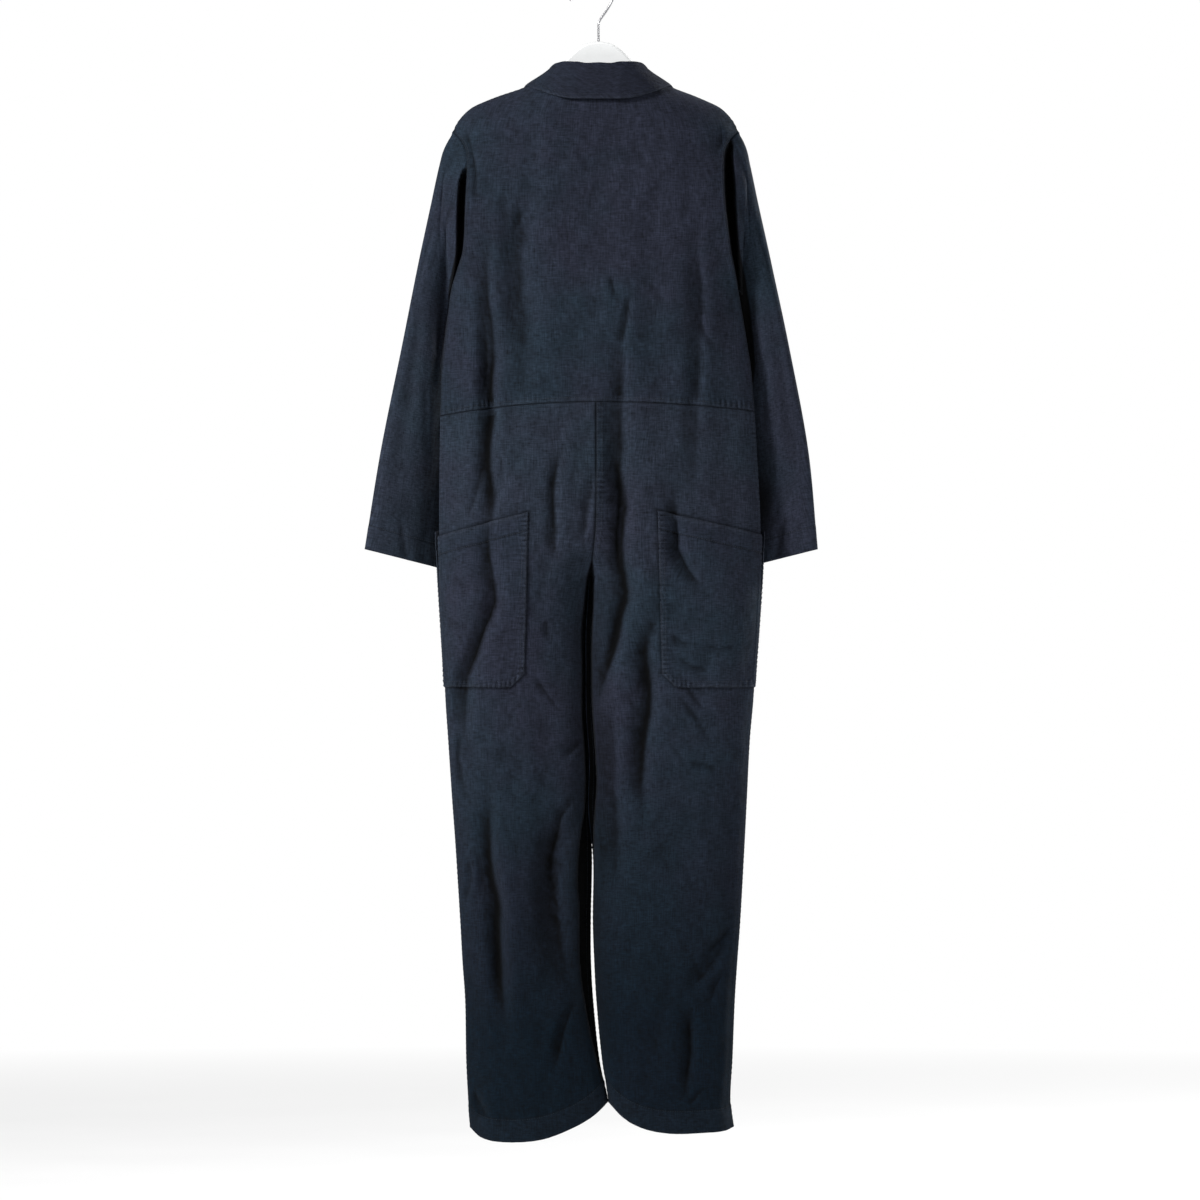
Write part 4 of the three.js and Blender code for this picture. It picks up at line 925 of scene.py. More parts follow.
def leg_shadow(face, side):
    """Painted shadow at the seams, the hem's row and the pocket's foot, and painted black between the legs.
    """
    size = POCKETS[face, side]

    def shadow(t, v, point):
        x, z = point[..., 0], point[..., 2]
        away = np.abs(x - inner_x(side, face, z))
        hem = z - hem_z(face, side, leg_share(t))
        across = np.abs(x)
        outside = np.maximum.reduce([pocket_edge_x(size, z) - across, pocket_foot(size, across) - z,
                                     z - pocket_top(side, size, across)])
        lines = [line_shadow(waist_z(x) - z, 0.5), line_shadow(away, 0.5, 1.8) * (1 - parted(z)),
                 line_shadow(hem - LEG_HEM, 0.25), line_shadow(outside, 0.5, 2.6)]
        if face == BACK:
            pit = column(LEG_PIT, "z", WORDS[side], z)
            lines.append(SHADOW_BLACK * smooth_step(pit + 2, pit - 1, away) * smooth_step(0, 2, pit))
            near = groove(np.maximum(0, away - pit), 0.35, 16)
            lines.append(near * smooth_step(-1480, -1400, z) * smooth_step(-800, -900, z))
        return np.maximum.reduce(lines)
    return shadow


# How far from the body's edge the back of each sleeve is painted dark as shadow, and the height
# of the painted pool of shade low on the right one
SLEEVE_POOL_Z = -712
SLEEVE_DARK = table(
    "z left right",
    (-560, 0, 0),
    (-541, 0, 4),
    (-483, 0, 10),
    (-448, 1, 11),
    (-429, 3, 11.5),
    (-407, 6, 12),
    (-375, 9, 12),
    (-325, 10, 13),
    (-290, 10, 13),
    (-272, 6, 13),
    (-262, 0, 13),
    (-235, 0, 9),
    (-227, 0, 2),
    (-222, 0, 0),
)


def sleeve_shadow(side):
    """Painted shadow behind the sleeve, along its hem's row of stitches and at its seam at the armhole."""
    def shadow(turn, s, point):
        x, z = side * point[..., 0], point[..., 2]
        away = x - half_width(side, z)
        width = column(SLEEVE_DARK, "z", WORDS[side], z)
        behind = np.sin(2 * np.pi * turn) > 0
        dark = behind * SHADOW_BLACK * smooth_step(width + 2, width - 1, away) * smooth_step(0, 2, width)
        hem = (1 - s) * SLEEVE_LENGTH
        lines = [dark, line_shadow(hem - SLEEVE_HEM, 0.25), line_shadow(s * SLEEVE_LENGTH, 0.45, 2)]
        if side == RIGHT:
            above = z - SLEEVE_POOL_Z
            lines.append(behind * groove(above, 0.75, 40) * smooth_step(23, 12, away - 0.1 * above))
        return np.maximum.reduce(lines)
    return shadow


def torso_lift(face):
    """The seams at the waist, the sides and the shoulders."""
    def lift(a, b, point):
        x, y, z = point[..., 0], np.abs(point[..., 1]), point[..., 2]
        above = z - waist_z(x)
        side = np.hypot(width_at(x, z) - np.abs(x), y - armhole_edge(z))
        top, top_y = top_edge(face, x)
        shoulder = np.hypot(top - z, y - top_y)
        out = seam_lift(above, x, 101, gathers=0.75) + seam_lift(side, z, 103, raised=0.2, gathers=0.2)
        return out + seam_lift(shoulder, x, 105, raised=0.2, gathers=0.12)
    return lift


def torso_square(to_u):
    """Turns the way out at the edges square to the seams, so that panels meet."""
    neck = NECK_HALF_WIDTH / half_width(LEFT, NECK_SIDE_Z)

    def square(a, v):
        u = to_u(a)
        flat_y = (u > 0.999) | ((v > 0.999) & (u > neck))
        return np.stack([a * 0 + 1, 1 - flat_y, v > 0.001], -1)
    return square


def leg_lift(face, side, detail=1):
    """The seams of a leg panel, and the doubled and rippled cloth of its hem."""
    def lift(t, v, point):
        x, y, z = point[..., 0], np.abs(point[..., 1]), point[..., 2]
        inner = inner_x(side, face, z)
        outer_seam = np.hypot(width_at(x, z) - np.abs(x), y)
        seat = np.abs(x - inner)
        inseam = np.hypot(seat, y)
        below = parted(z)
        stitched = 0.55 if side == RIGHT else 0.15
        out = seam_lift(outer_seam, z, 111, raised=0.45 if face == BACK else 0, gathers=0.28 * detail)
        out = out + (1 - below) * seam_lift(seat, z, 113, raised=stitched, gathers=1.5 * stitched * detail)
        out = out + below * seam_lift(inseam, z, 115, raised=0.2, gathers=0.25 * detail)
        out = out + edge_dip(waist_z(x) - z)
        row = z - hem_z(face, side, leg_share(t)) - LEG_HEM + 1
        out = out + hem_lift(row, 0.35, 1.2)
        ripple = 0.3 * detail * noise(x + 0.8 * z, z * 0.5, 7, 30, 117) * (row < 0)
        return out + ripple + pucker(x, row, 7.5, 0.3 * detail, 6, 119)
    return lift


def leg_square(face, side):
    """As for the torso: square at the seat or inseam, the side and the waist."""
    surface = leg_surface(face, side)

    def square(t, v):
        seat = surface(np.zeros(t.shape), v)[..., 2] > CROTCH_Z
        at_inner, at_outer = t < 0.001, t > 0.999
        flat_x = at_inner & seat
        flat_y = (at_inner & ~seat) | at_outer
        return np.stack([1.0 - flat_x, 1.0 - flat_y, v < 0.999], -1)
    return square


def sleeve_lift(turn, s, point):
    """The seams at the armhole and under the arm, and the doubled hem."""
    down, around = s * SLEEVE_LENGTH, turn * SLEEVE_GIRTH
    row = SLEEVE_LENGTH - down - SLEEVE_HEM
    underarm = np.abs(turn % 1 - 0.5) * 400
    out = groove(underarm, -0.5, 1.6) + edge_dip(down) + hem_lift(row, 0.3, 1.3)
    out = out + pucker(around, row, 8, 0.3, 7, 131) + pucker(around, down - 3, 7, 0.35, 8, 133)
    return out + pucker(down, underarm - 3, 7, 0.25, 6, 135)


def sleeve_square(turn, s):
    return np.stack([s > 0.001, s >= 0, s >= 0], -1)


# Patch pockets: the inner edge's x at top and bottom, the top edge's height at both ends,
# the lower edge, and how far the top stands off at the side seam
POCKETS = {
    (BACK, LEFT): dict(top_x=94, bottom_x=100, top_in=-729, top_out=-761, bottom=-965, gape=0),
    (BACK, RIGHT): dict(top_x=79, bottom_x=86, top_in=-727, top_out=-759, bottom=-965, gape=0),
    (FRONT, LEFT): dict(top_x=88, bottom_x=94, top_in=-714, top_out=-755, bottom=-955, gape=4.6),
    (FRONT, RIGHT): dict(top_x=84, bottom_x=90, top_in=-714, top_out=-755, bottom=-955, gape=4.6),
}
POCKET_CHAMFER = 18
POCKET_BAND = 25

# How far a pocket stands out in its middle, at its mouth, along its doubled band and at its
# turned edges
POCKET_BELLY, POCKET_MOUTH, POCKET_DOUBLED, POCKET_TURNED = 0.9, 1.5, 0.45, 0.35


def pocket_edge_x(size, z):
    """How far from the middle a pocket's inner edge lies at a height."""
    return mix(size["bottom_x"], size["top_x"], (z - size["bottom"]) / (size["top_in"] - size["bottom"]))


def pocket_place(face, side, p, z):
    """The leg's first parameter at a share p of the pocket's width and a height."""
    inner = side * inner_x(side, face, z)
    u = (pocket_edge_x(POCKETS[face, side], z) - inner) / (half_width(side, z) - inner)
    return mix(np.arccos(1 - 2 * u) / np.pi, 1, p)


def pocket_x(face, side, t, z):
    inner = side * inner_x(side, face, z)
    return inner + leg_share(t) * (half_width(side, z) - inner)


def pocket_foot(size, x):
    """The height of a pocket's lower edge, whose inner corner is cut."""
    return size["bottom"] + np.maximum(0, POCKET_CHAMFER - (x - size["bottom_x"]))


def pocket_top(side, size, x):
    """The height of a pocket's slanted upper edge."""
    slope = (size["top_out"] - size["top_in"]) / (half_width(side, size["top_out"]) - size["top_x"])
    return size["top_in"] + slope * (x - size["top_x"])


def pocket_ends(face, side, p):
    """The heights of a pocket's lower and upper edge at a share of its width."""
    size = POCKETS[face, side]
    x_at = lambda z: pocket_x(face, side, pocket_place(face, side, p, z), z)
    low = pocket_foot(size, x_at(np.full(np.shape(p), float(size["bottom"]))))
    high = np.full(np.shape(p), float(size["top_in"]))
    for _ in range(4):
        high = pocket_top(side, size, x_at(high))
    return low, high


def pocket_surface(face, side):
    def surface(p, q):
        low, high = pocket_ends(face, side, p)
        z = mix(low, high, q)
        t = np.clip(pocket_place(face, side, p, z), 0, 1)
        return leg_surface(face, side)(t, leg_place(face, side, t, z))
    return surface


def pocket_lift(face, side):
    """A patch that lies on the leg, sewn round three sides and a little open at the top."""
    size = POCKETS[face, side]
    under = leg_lift(face, side, detail=0)

    def lift(p, q, point):
        x, y, z = point[..., 0], np.abs(point[..., 1]), point[..., 2]
        low, high = pocket_ends(face, side, p)
        t = pocket_place(face, side, p, z)
        inner = np.abs(x) - pocket_edge_x(size, z)
        outer = np.hypot(half_width(side, z) - np.abs(x), y)
        bottom, top = z - low, high - z
        edge = np.minimum(np.minimum(inner, bottom), np.minimum(outer, top))
        sewn = np.minimum(inner, np.minimum(bottom, outer))
        height = np.clip((z - size["bottom"]) / (size["top_out"] - size["bottom"]), 0, 1)
        out = under(t, q, point) + (CLOTH + PATCH) / 2 + LAY_GAP
        out = out + size["gape"] * smooth_step(0.6, 1, t) * height
        out = out + POCKET_BELLY * np.sin(np.pi * height) * np.sin(np.pi * t)
        out = out + POCKET_MOUTH * smooth_step(30, 0, top) * smooth_step(0, 30, np.minimum(inner, outer))
        out = out + POCKET_DOUBLED * smooth_step(POCKET_BAND + 1, POCKET_BAND - 1, top)
        out = out + groove(top - POCKET_BAND, -0.35, 1.2)
        out = out + edge_dip(edge) * 1.2 + POCKET_TURNED * (1 - smooth_step(8, 11, sewn))
        along = np.where(bottom < np.minimum(inner, outer), x, z)
        held = mix(0.35, 1, smooth_step(4, 26, outer))
        out = out + held * pucker(along, np.maximum(0, sewn - 4), 6.6, 1.3, 5.5, 141 + side)
        return out + pucker(x, top - POCKET_BAND, 8, 0.35, 6, 145 + side)
    return lift


def pocket_shadow(face, side):
    """Painted shadow along the band's row of stitches and the pocket's edges."""
    size = POCKETS[face, side]

    def shadow(p, q, point):
        x, z = point[..., 0], point[..., 2]
        low, high = pocket_ends(face, side, p)
        edge = np.minimum(np.abs(x) - pocket_edge_x(size, z), np.minimum(z - low, high - z))
        return np.maximum(line_shadow(high - z - POCKET_BAND, 0.4), line_shadow(edge, 0.25, 1.2))
    return shadow


def seam_row(panel, edge, distance, start=0, end=1, reach=0.14, count=500):
    """A panel, and its parameters along a line at a set distance from one of its edges."""
    along = np.linspace(start, end, count)
    inward = np.linspace(0, reach, 40)
    across = inward if edge[1] == "0" else 1 - inward
    a, b = np.meshgrid(along, across, indexing="ij")
    if edge[0] == "a":
        a, b = b, a
    points = panel.surface(a, b)
    away = np.linalg.norm(points - points[:, :1], axis=-1)
    hit = np.array([np.interp(distance, row, across) for row in away])
    return (panel, hit, along) if edge[0] == "a" else (panel, along, hit)


def stitch(path, out, place, start):
    """The points of one stitch: both its ends, which dip into the cloth, and two rings."""
    stops = start + STITCH_LENGTH * np.array([0, 0.22, 0.78, 1])
    centre = np.stack([np.interp(stops, place, path[:, i]) for i in range(3)], -1)
    up = unit(np.array([np.interp(stops[1], place, out[:, i]) for i in range(3)]))
    aside = np.cross(up, unit(centre[3] - centre[0]))
    turns = np.linspace(0, 2 * np.pi, STITCH_SIDES, endpoint=False)
    ring = np.outer(np.cos(turns), aside) * STITCH_HALF_WIDTH
    ring = ring + np.outer(np.sin(turns), up) * STITCH_HALF_WIDTH * 0.8 + 0.06 * up
    return np.array([centre[0] - 0.25 * up, *(centre[1] + ring), *(centre[2] + ring), centre[3] - 0.25 * up])


def stitches(name, rows):
    """One mesh of small sewn stitches along rows of (panel, a, b) on the outer faces."""
    blocks, faces = [], []
    size = 2 + 2 * STITCH_SIDES
    for panel, a, b in rows:
        path, out = panel.outer(np.asarray(a), np.asarray(b), 0.05)
        place = arc(path[:, None], 0)[:, 0]
        for k in range(int((place[-1] - 1) // STITCH_PITCH)):
            first = len(blocks) * size
            last = first + size - 1
            blocks.append(stitch(path, out, place, 0.5 + STITCH_PITCH * k))
            for i in range(STITCH_SIDES):
                p, q = first + 1 + i, first + 1 + (i + 1) % STITCH_SIDES
                faces += [(first, q, p), (p, q, q + STITCH_SIDES, p + STITCH_SIDES),
                          (last, p + STITCH_SIDES, q + STITCH_SIDES)]
    piece = mesh_object(name, np.concatenate(blocks), faces, thread_material)


# Materials
THREADS_PER_METRE = 1150
NAVY = (0.0128, 0.0178, 0.0285, 1)
TEAL_NAVY = (0.0100, 0.0190, 0.0285, 1)
VIOLET_NAVY = (0.0158, 0.0166, 0.0285, 1)
# The navy of painted shade, low on the legs
SHADED_NAVY = (0.0002, 0.0036, 0.0078, 1)
# Paler navy, for worn edges and for painted light
WORN_AND_LIT_NAVY = (0.0330, 0.0400, 0.0560, 1)
THREAD_NAVY, THREAD_LIGHT = (0.011, 0.015, 0.023, 1), (0.024, 0.030, 0.042, 1)
THREAD_SHADED = (0.002, 0.007, 0.012, 1)
SHEEN_BLUE = (0.55, 0.65, 0.85, 1)
# Painted shade darkens the cloth and its thread from the knees down to the shins, a little slanted across the
# body
SHADE_TOP_Z, SHADE_FULL_Z, SHADE_SLANT = -0.98, -1.42, 0.1


def put(tree, socket, value):
    """Links a socket to another one, or sets its value."""
    if isinstance(value, bpy.types.NodeSocket):
        tree.links.new(value, socket)
    else:
        socket.default_value = value


def dress(tree, node, **values):
    """Sets a node's properties, and sets or links its inputs, by name."""
    for name, value in values.items():
        if hasattr(node, name):
            setattr(node, name, value)
        else:
            put(tree, node.inputs[name.replace("_", " ")], value)
    return node.outputs


def add(tree, kind, *values, **named):
    """The outputs of a new node, whose inputs are given in order or by name."""
    node = tree.nodes.new("ShaderNode" + kind)
    outputs = dress(tree, node, **named)
    for socket, value in zip(node.inputs, values):
        put(tree, socket, value)
    return outputs


def new_material(name):
    material = bpy.data.materials.new(name)
    material.use_nodes = True
    tree = material.node_tree
    return material, tree, tree.nodes["Principled BSDF"]


def blend(tree, factor, low, high):
    """A colour between two colours or sockets."""
    node = tree.nodes.new("ShaderNodeMix")
    node.data_type = "RGBA"
    for index, value in ((0, factor), (6, low), (7, high)):
        put(tree, node.inputs[index], value)
    return node.outputs[2]


def maths(tree, operation, *values):
    return add(tree, "Math", *values, operation=operation)[0]


def clouds(tree, place, scale, detail, **more):
    """Soft patches from 0 to 1 over the surface."""
    return add(tree, "TexNoise", Vector=place, Scale=scale, Detail=detail, **more)["Fac"]


def relief(tree, height, strength, distance, **under):
    return add(tree, "Bump", Height=height, Strength=strength, Distance=distance, **under)[0]


def object_place(tree):
    return add(tree, "TexCoord")["Object"]


def shade_by_height(tree, height, most=1.0):
    """How far painted shade darkens the cloth at a height: 0 down to the knees, most from the shins down."""
    return add(tree, "MapRange", Value=height, From_Min=SHADE_TOP_Z, From_Max=SHADE_FULL_Z, To_Max=most)[0]


def weave_height(tree, uv):
    """A plain weave, whose threads wander a little: 0 between threads, 1 on top of one."""
    wobble = add(tree, "TexNoise", Vector=uv, Scale=260.0, Detail=1.0)["Color"]
    bent = add(tree, "VectorMath", wobble, (0.0004, 0.0004, 0), uv, operation="MULTIPLY_ADD")[0]
    bands = THREADS_PER_METRE * 2 * math.pi / 20
    warp, weft = (add(tree, "TexWave", bands_direction=direction, Vector=bent, Scale=bands)["Fac"]
                  for direction in "XY")
    over = add(tree, "TexChecker", Vector=bent, Scale=float(THREADS_PER_METRE))["Fac"]
    weave = tree.nodes.new("ShaderNodeMix")
    for index, value in ((0, over), (2, warp), (3, weft)):
        put(tree, weave.inputs[index], value)
    return weave.outputs[0]


def slub_tone(tree, uv):
    """Thick and thin threads along the weft and the warp, added up."""
    slubs = []
    for scale, seed in (((600, 46, 1), 0.0), ((70, 580, 1), 4.0)):
        stretched = add(tree, "Mapping", Vector=uv, Scale=scale)[0]
        slubs.append(clouds(tree, stretched, 1.0, 2.0, noise_dimensions="4D", W=seed))
    return maths(tree, "ADD", *slubs)


def dyed_and_shaded_colour(tree, place):
    """Navy that drifts between teal and violet, with painted shade that darkens it down the legs."""
    patches = clouds(tree, place, 5.5, 4.0, Roughness=0.6)
    drift = add(tree, "MapRange", Value=patches, From_Min=0.38, From_Max=0.62)[0]
    colour = blend(tree, 0.4, blend(tree, drift, TEAL_NAVY, VIOLET_NAVY), NAVY)
    axes = add(tree, "SeparateXYZ", Vector=place)
    slanted = maths(tree, "MULTIPLY_ADD", axes["X"], SHADE_SLANT, axes["Z"])
    return blend(tree, maths(tree, "MULTIPLY", shade_by_height(tree, slanted), 0.88), colour, SHADED_NAVY)


def cloth_tone(tree, place, weave, slubs):
    """How bright the dye shows: slubs, mottles, patches, the weave and the painted shade of folds, seams and
    gaps.
    """
    tone = maths(tree, "MULTIPLY_ADD", slubs, 1.9, -1.3)
    tone = maths(tree, "MULTIPLY_ADD", clouds(tree, place, 240.0, 4.0), 0.9, tone)
    patches = clouds(tree, place, 38.0, 4.0, Roughness=0.65)
    tone = maths(tree, "MULTIPLY", tone, maths(tree, "MULTIPLY_ADD", patches, 0.7, 0.65))
    dark = add(tree, "Attribute", attribute_name="shadow")["Fac"]
    tone = maths(tree, "MULTIPLY", tone, maths(tree, "SUBTRACT", 1.0, dark))
    tone = maths(tree, "MAXIMUM", tone, 0.0)
    return maths(tree, "MULTIPLY", tone, maths(tree, "MULTIPLY_ADD", weave, 0.5, 0.72))


def cloth_material():
    """Plain-woven linen and cotton, dyed navy, with slubs, uneven dye, worn edges, painted light and painted
    shade.
    """
    material, tree, shader = new_material("navy_linen_cotton")
    uv, place = add(tree, "UVMap", uv_map="weave")[0], object_place(tree)
    weave, slubs = weave_height(tree, uv), slub_tone(tree, uv)
    # This attribute holds worn edges and painted light, both of which pale the navy
    paled = add(tree, "Attribute", attribute_name="wear")["Fac"]
    paled = maths(tree, "MULTIPLY", paled, clouds(tree, uv, 420.0, 3.0))
    colour = blend(tree, paled, dyed_and_shaded_colour(tree, place), WORN_AND_LIT_NAVY)
    tone = cloth_tone(tree, place, weave, slubs)
    threads = maths(tree, "MULTIPLY_ADD", slubs, 0.9, weave)
    crinkle = relief(tree, clouds(tree, place, 170.0, 3.0), 0.35, 0.0012)
    dress(tree, shader,
          Base_Color=add(tree, "VectorMath", operation="SCALE", Vector=colour, Scale=tone)[0],
          Roughness=maths(tree, "MULTIPLY_ADD", slubs, 0.12, 0.78),
          Specular_IOR_Level=0.1, Sheen_Weight=0.03, Sheen_Roughness=0.45, Sheen_Tint=SHEEN_BLUE,
          Normal=relief(tree, threads, 0.55, 0.00035, Normal=crinkle))
    return material


def sewing_thread():
    """Twisted navy sewing thread, a little brighter than the cloth, with painted shade that darkens it down
    the legs.
    """
    material, tree, shader = new_material("navy_thread")
    place = object_place(tree)
    twist = add(tree, "TexWave", bands_direction="DIAGONAL", Vector=place, Scale=900.0, Distortion=1.0)["Fac"]
    height = add(tree, "SeparateXYZ", Vector=place)["Z"]
    colour = blend(tree, twist, THREAD_NAVY, THREAD_LIGHT)
    # Painted shade, darker down the legs
    dress(tree, shader, Base_Color=blend(tree, shade_by_height(tree, height, 0.85), colour, THREAD_SHADED),
          Normal=relief(tree, twist, 0.5, 0.0001), Roughness=0.7, Specular_IOR_Level=0.2, Sheen_Weight=0.02)
    return material


def speckled_material(name, low, high, roughness, scale, depth, metallic=0.0, coat=0.0):
    """A hard surface with a faint mottle in its colour, gloss and height."""
    material, tree, shader = new_material(name)
    mottle = clouds(tree, object_place(tree), scale, 5.0, Roughness=0.6)
    dress(tree, shader, Base_Color=blend(tree, mottle, low, high), Metallic=metallic, Coat_Weight=coat,
          Roughness=maths(tree, "MULTIPLY_ADD", mottle, 0.16, roughness),
          Normal=relief(tree, mottle, 0.3, depth))
    return material


cloth = cloth_material()
thread_material = sewing_thread()
button_material = speckled_material(
    "dark_button", (0.008, 0.010, 0.014, 1), (0.020, 0.023, 0.030, 1), 0.28, 420.0, 0.0002, coat=0.15)
hanger_material = speckled_material(
    "white_painted_hanger", (0.80, 0.81, 0.81, 1), (0.88, 0.89, 0.89, 1), 0.32, 90.0, 0.0004, coat=0.2)
steel_material = speckled_material(
    "plated_steel_wire", (0.42, 0.42, 0.43, 1), (0.58, 0.58, 0.60, 1), 0.18, 900.0, 0.00005, metallic=1.0)
floor_material = speckled_material(
    "pale_floor", (0.90, 0.90, 0.90, 1), (0.94, 0.94, 0.94, 1), 0.6, 3.0, 0.0005)

# The garment


def edge_wear(a, b, edges, width_a=0.012, width_b=0.004):
    """How far an edge has rubbed pale: 1 at each named edge, fading out inwards."""
    paled = np.zeros(a.shape)
    for edge in edges.split():
        along, width = (a, width_a) if edge[0] == "a" else (b, width_b)
        away = along if edge[1] == "0" else 1 - along
        paled = np.maximum(paled, np.exp(-(away / width) ** 2))
    return paled


# Painted light that pales the upper legs and the sleeves, more on the left one; wear at the hems
HIP_PAINTED_LIGHT, HEM_FADE = 0.22, 0.13
SLEEVE_PAINTED_LIGHT = {LEFT: 0.32, RIGHT: 0.14}
COLLAR_SHADE = 0.12
FACES = {BACK: "back", FRONT: "front"}


def waist_wear(width):
    return lambda a, b: 0.4 * edge_wear(a, b, "b0", width, 0.012)


def bodice_back_piece():
    """The back of the bodice, in one piece."""
    panel = Panel(back_surface, -1, torso_lift(BACK), square=torso_square(lambda a: np.abs(2 * a - 1)))
    cloth_piece("bodice_back", panel, cells(460, 2.2, 0.3), cells(470, 2.2),
                waist_wear(0.01), shadow=torso_shadow)
    return panel


def bodice_front_piece(side):
    panel = Panel(torso_surface(FRONT, side), side, torso_lift(FRONT), square=torso_square(lambda a: a))
    cloth_piece("bodice_front_" + WORDS[side], panel, mix(SEAM_GAP / 2 / 200, 1, cells(240, 3)),
                cells(440, 3), waist_wear(0.02), shadow=torso_shadow)
    return panel


def leg_piece(face, side):
    """One of the four trouser panels, finer on the back than on the front."""
    word = WORDS[side]
    wide, long = (2.4, 2.2) if face == BACK else (3.8, 3.3)
    panel = Panel(leg_surface(face, side), -face * side, leg_lift(face, side), square=leg_square(face, side))

    # Worn edges and hems, and painted light that pales the cloth towards the waist
    def wear(a, b):
        return np.maximum.reduce([0.5 * edge_wear(a, b, "a1 b0", 0.02, 0.0016),
                                  HIP_PAINTED_LIGHT * smooth_step(0.7, 0.85, b),
                                  HEM_FADE * smooth_step(0.034, 0.03, b)])

    def hem(t, v):
        return HEM_EXTRA * ((v * LEG_LENGTH < LEG_HEM) & (t > 0.01) & (t < 0.99))
    cloth_piece(f"leg_{FACES[face]}_{word}", panel, cells(290, wide, 0), cells(1000, long, 0.2),
                wear, hem,
                shadow=leg_shadow(face, side))
    return panel


def sleeve_piece(side):
    """A sleeve, with closer cells near the armhole."""
    panel = Panel(sleeve_surface(side), -side, sleeve_lift, closed=True, square=sleeve_square)
    along = np.concatenate([np.linspace(0, 0.05, 47)[:-1], mix(0.05, 1, cells(560, 2.5, 0.1))])
    # Worn cuffs, and painted light that pales the sleeve towards the cuff, more on the left one
    cloth_piece("sleeve_" + WORDS[side], panel, cells(400, 3.2, 0), along,
                lambda a, s: np.maximum(0.6 * edge_wear(a, s, "b1", 1, 0.003),
                                        SLEEVE_PAINTED_LIGHT[side] * smooth_step(0.2, 0.7, s)),
                lambda a, s: HEM_EXTRA * (s > 1 - SLEEVE_HEM_SHARE), lean=side * SLEEVE_LEAN,
                shadow=sleeve_shadow(side), folds=None)
    return panel


def pocket_piece(face, side):
    size = 1.7 if face == BACK else 2.6
    place = f"{FACES[face]}_{WORDS[side]}"
    panel = Panel(pocket_surface(face, side), -face * side, pocket_lift(face, side), thickness=PATCH)
    cloth_piece("pocket_" + place, panel, cells(160, size), cells(215, size),
                lambda a, b: 0.6 * edge_wear(a, b, "a0 a1 b0 b1", 0.03, 0.022), visual=0.9,
                shadow=pocket_shadow(face, side))
    return panel


def collar_lift(a, w, point):
    fall = w > 0.6
    return fall * (edge_dip((1 - w) * 60) + pucker(a * 520, (1 - w) * 52 - 5, 6.5, 0.6, 5, 151))


bodice_back = bodice_back_piece()
bodice_fronts, legs, sleeves, pockets = {}, {}, {}, {}
for side in WORDS:
    bodice_fronts[side] = bodice_front_piece(side)
    for face in FACES:
        legs[face, side] = leg_piece(face, side)
    sleeves[side] = sleeve_piece(side)
    for face in FACES:
        pockets[face, side] = pocket_piece(face, side)

collar = Panel(collar_surface, 1, collar_lift)
cloth_piece("collar", collar, cells(560, 2.6), cells(110, 1.9, 0.2),
            lambda a, w: 0.8 * edge_wear(a, w, "a0 a1 b1", 0.01, 0.025), weave=None, folds=None,
            shadow=lambda a, w, point: COLLAR_SHADE + 0 * a)

PLACKET_HALF_WIDTH, PLACKET_TOP, PLACKET_FOOT = 16, -226, -742


def placket_surface(a, b):
    x = mix(-PLACKET_HALF_WIDTH, PLACKET_HALF_WIDTH, a)
    return front_surface(x, mix(PLACKET_FOOT, PLACKET_TOP, b))


def placket_lift(a, b, point):
    away = np.minimum(a, 1 - a) * 2 * PLACKET_HALF_WIDTH
    out = (CLOTH + PATCH) / 2 + LAY_GAP + edge_dip(away)
    return out + pucker(b * (PLACKET_TOP - PLACKET_FOOT), away - 3, 7, 0.25, 4, 153)


placket = Panel(placket_surface, 1, placket_lift, thickness=PATCH)
cloth_piece("placket", placket, cells(32, 1.6), cells(520, 2.2, 0),
            lambda a, b: 0.5 * edge_wear(a, b, "a0 a1", 0.06, 0.01), visual=0.9, folds=None)


def ring_faces(rings, sides):
    """Faces that join rings of points, one after the other, and close both ends."""
    faces = []
    for i in range(rings - 1):
        for j in range(sides):
            k = (j + 1) % sides
            faces.append((i * sides + j, i * sides + k, (i + 1) * sides + k, (i + 1) * sides + j))
    return faces + [tuple(range(sides)), tuple((rings - 1) * sides + j for j in range(sides))]


def tube(points, radius, sides):
    """A round wire along a line of points, closed at both ends."""
    points = np.array(points, float)
    ahead = unit(np.gradient(points, axis=0))
    aside = unit(np.cross(ahead, (0, 1, 0)))
    up = np.cross(aside, ahead)
    turns = np.linspace(0, 2 * np.pi, sides, endpoint=False)
    rings = [p + radius * (np.outer(np.cos(turns), s) + np.outer(np.sin(turns), u))
             for p, s, u in zip(points, aside, up)]
    first = points[0] + 0.6 * (rings[0] - points[0]) - 0.3 * radius * ahead[0]
    last = points[-1] + 0.6 * (rings[-1] - points[-1]) + 0.3 * radius * ahead[-1]
    rings = [first, *rings, last]
    return np.concatenate(rings), ring_faces(len(rings), sides)


# Buttons
BUTTON_RADIUS, BUTTON_RIM, BUTTON_DISH = 7.5, 3, 2
BUTTON_COUNT, BUTTON_FIRST_Z, BUTTON_LAST_Z, BUTTON_SIDES = 8, -240, -706, 44
HOLE_RADIUS, HOLE_OFFSET, HOLE_DEPTH = 0.95, 1.55, 1.5


def button_profile():
    """Half of a button's section, from the middle of its back to the middle of its face."""
    rim = [(BUTTON_RADIUS - 1, 0), (BUTTON_RADIUS - 0.2, 0.5), (BUTTON_RADIUS, 1.3),
           (BUTTON_RADIUS - 0.15, 2.4), (BUTTON_RADIUS - 0.8, BUTTON_RIM), (BUTTON_RADIUS - 1.5, 2.85),
           (BUTTON_RADIUS - 2.1, BUTTON_DISH + 0.1)]
    face = [(r, BUTTON_DISH) for r in np.arange(BUTTON_RADIUS - 2.6, 0.2, -0.32)]
    return [(0.3, 0)] + rim + face


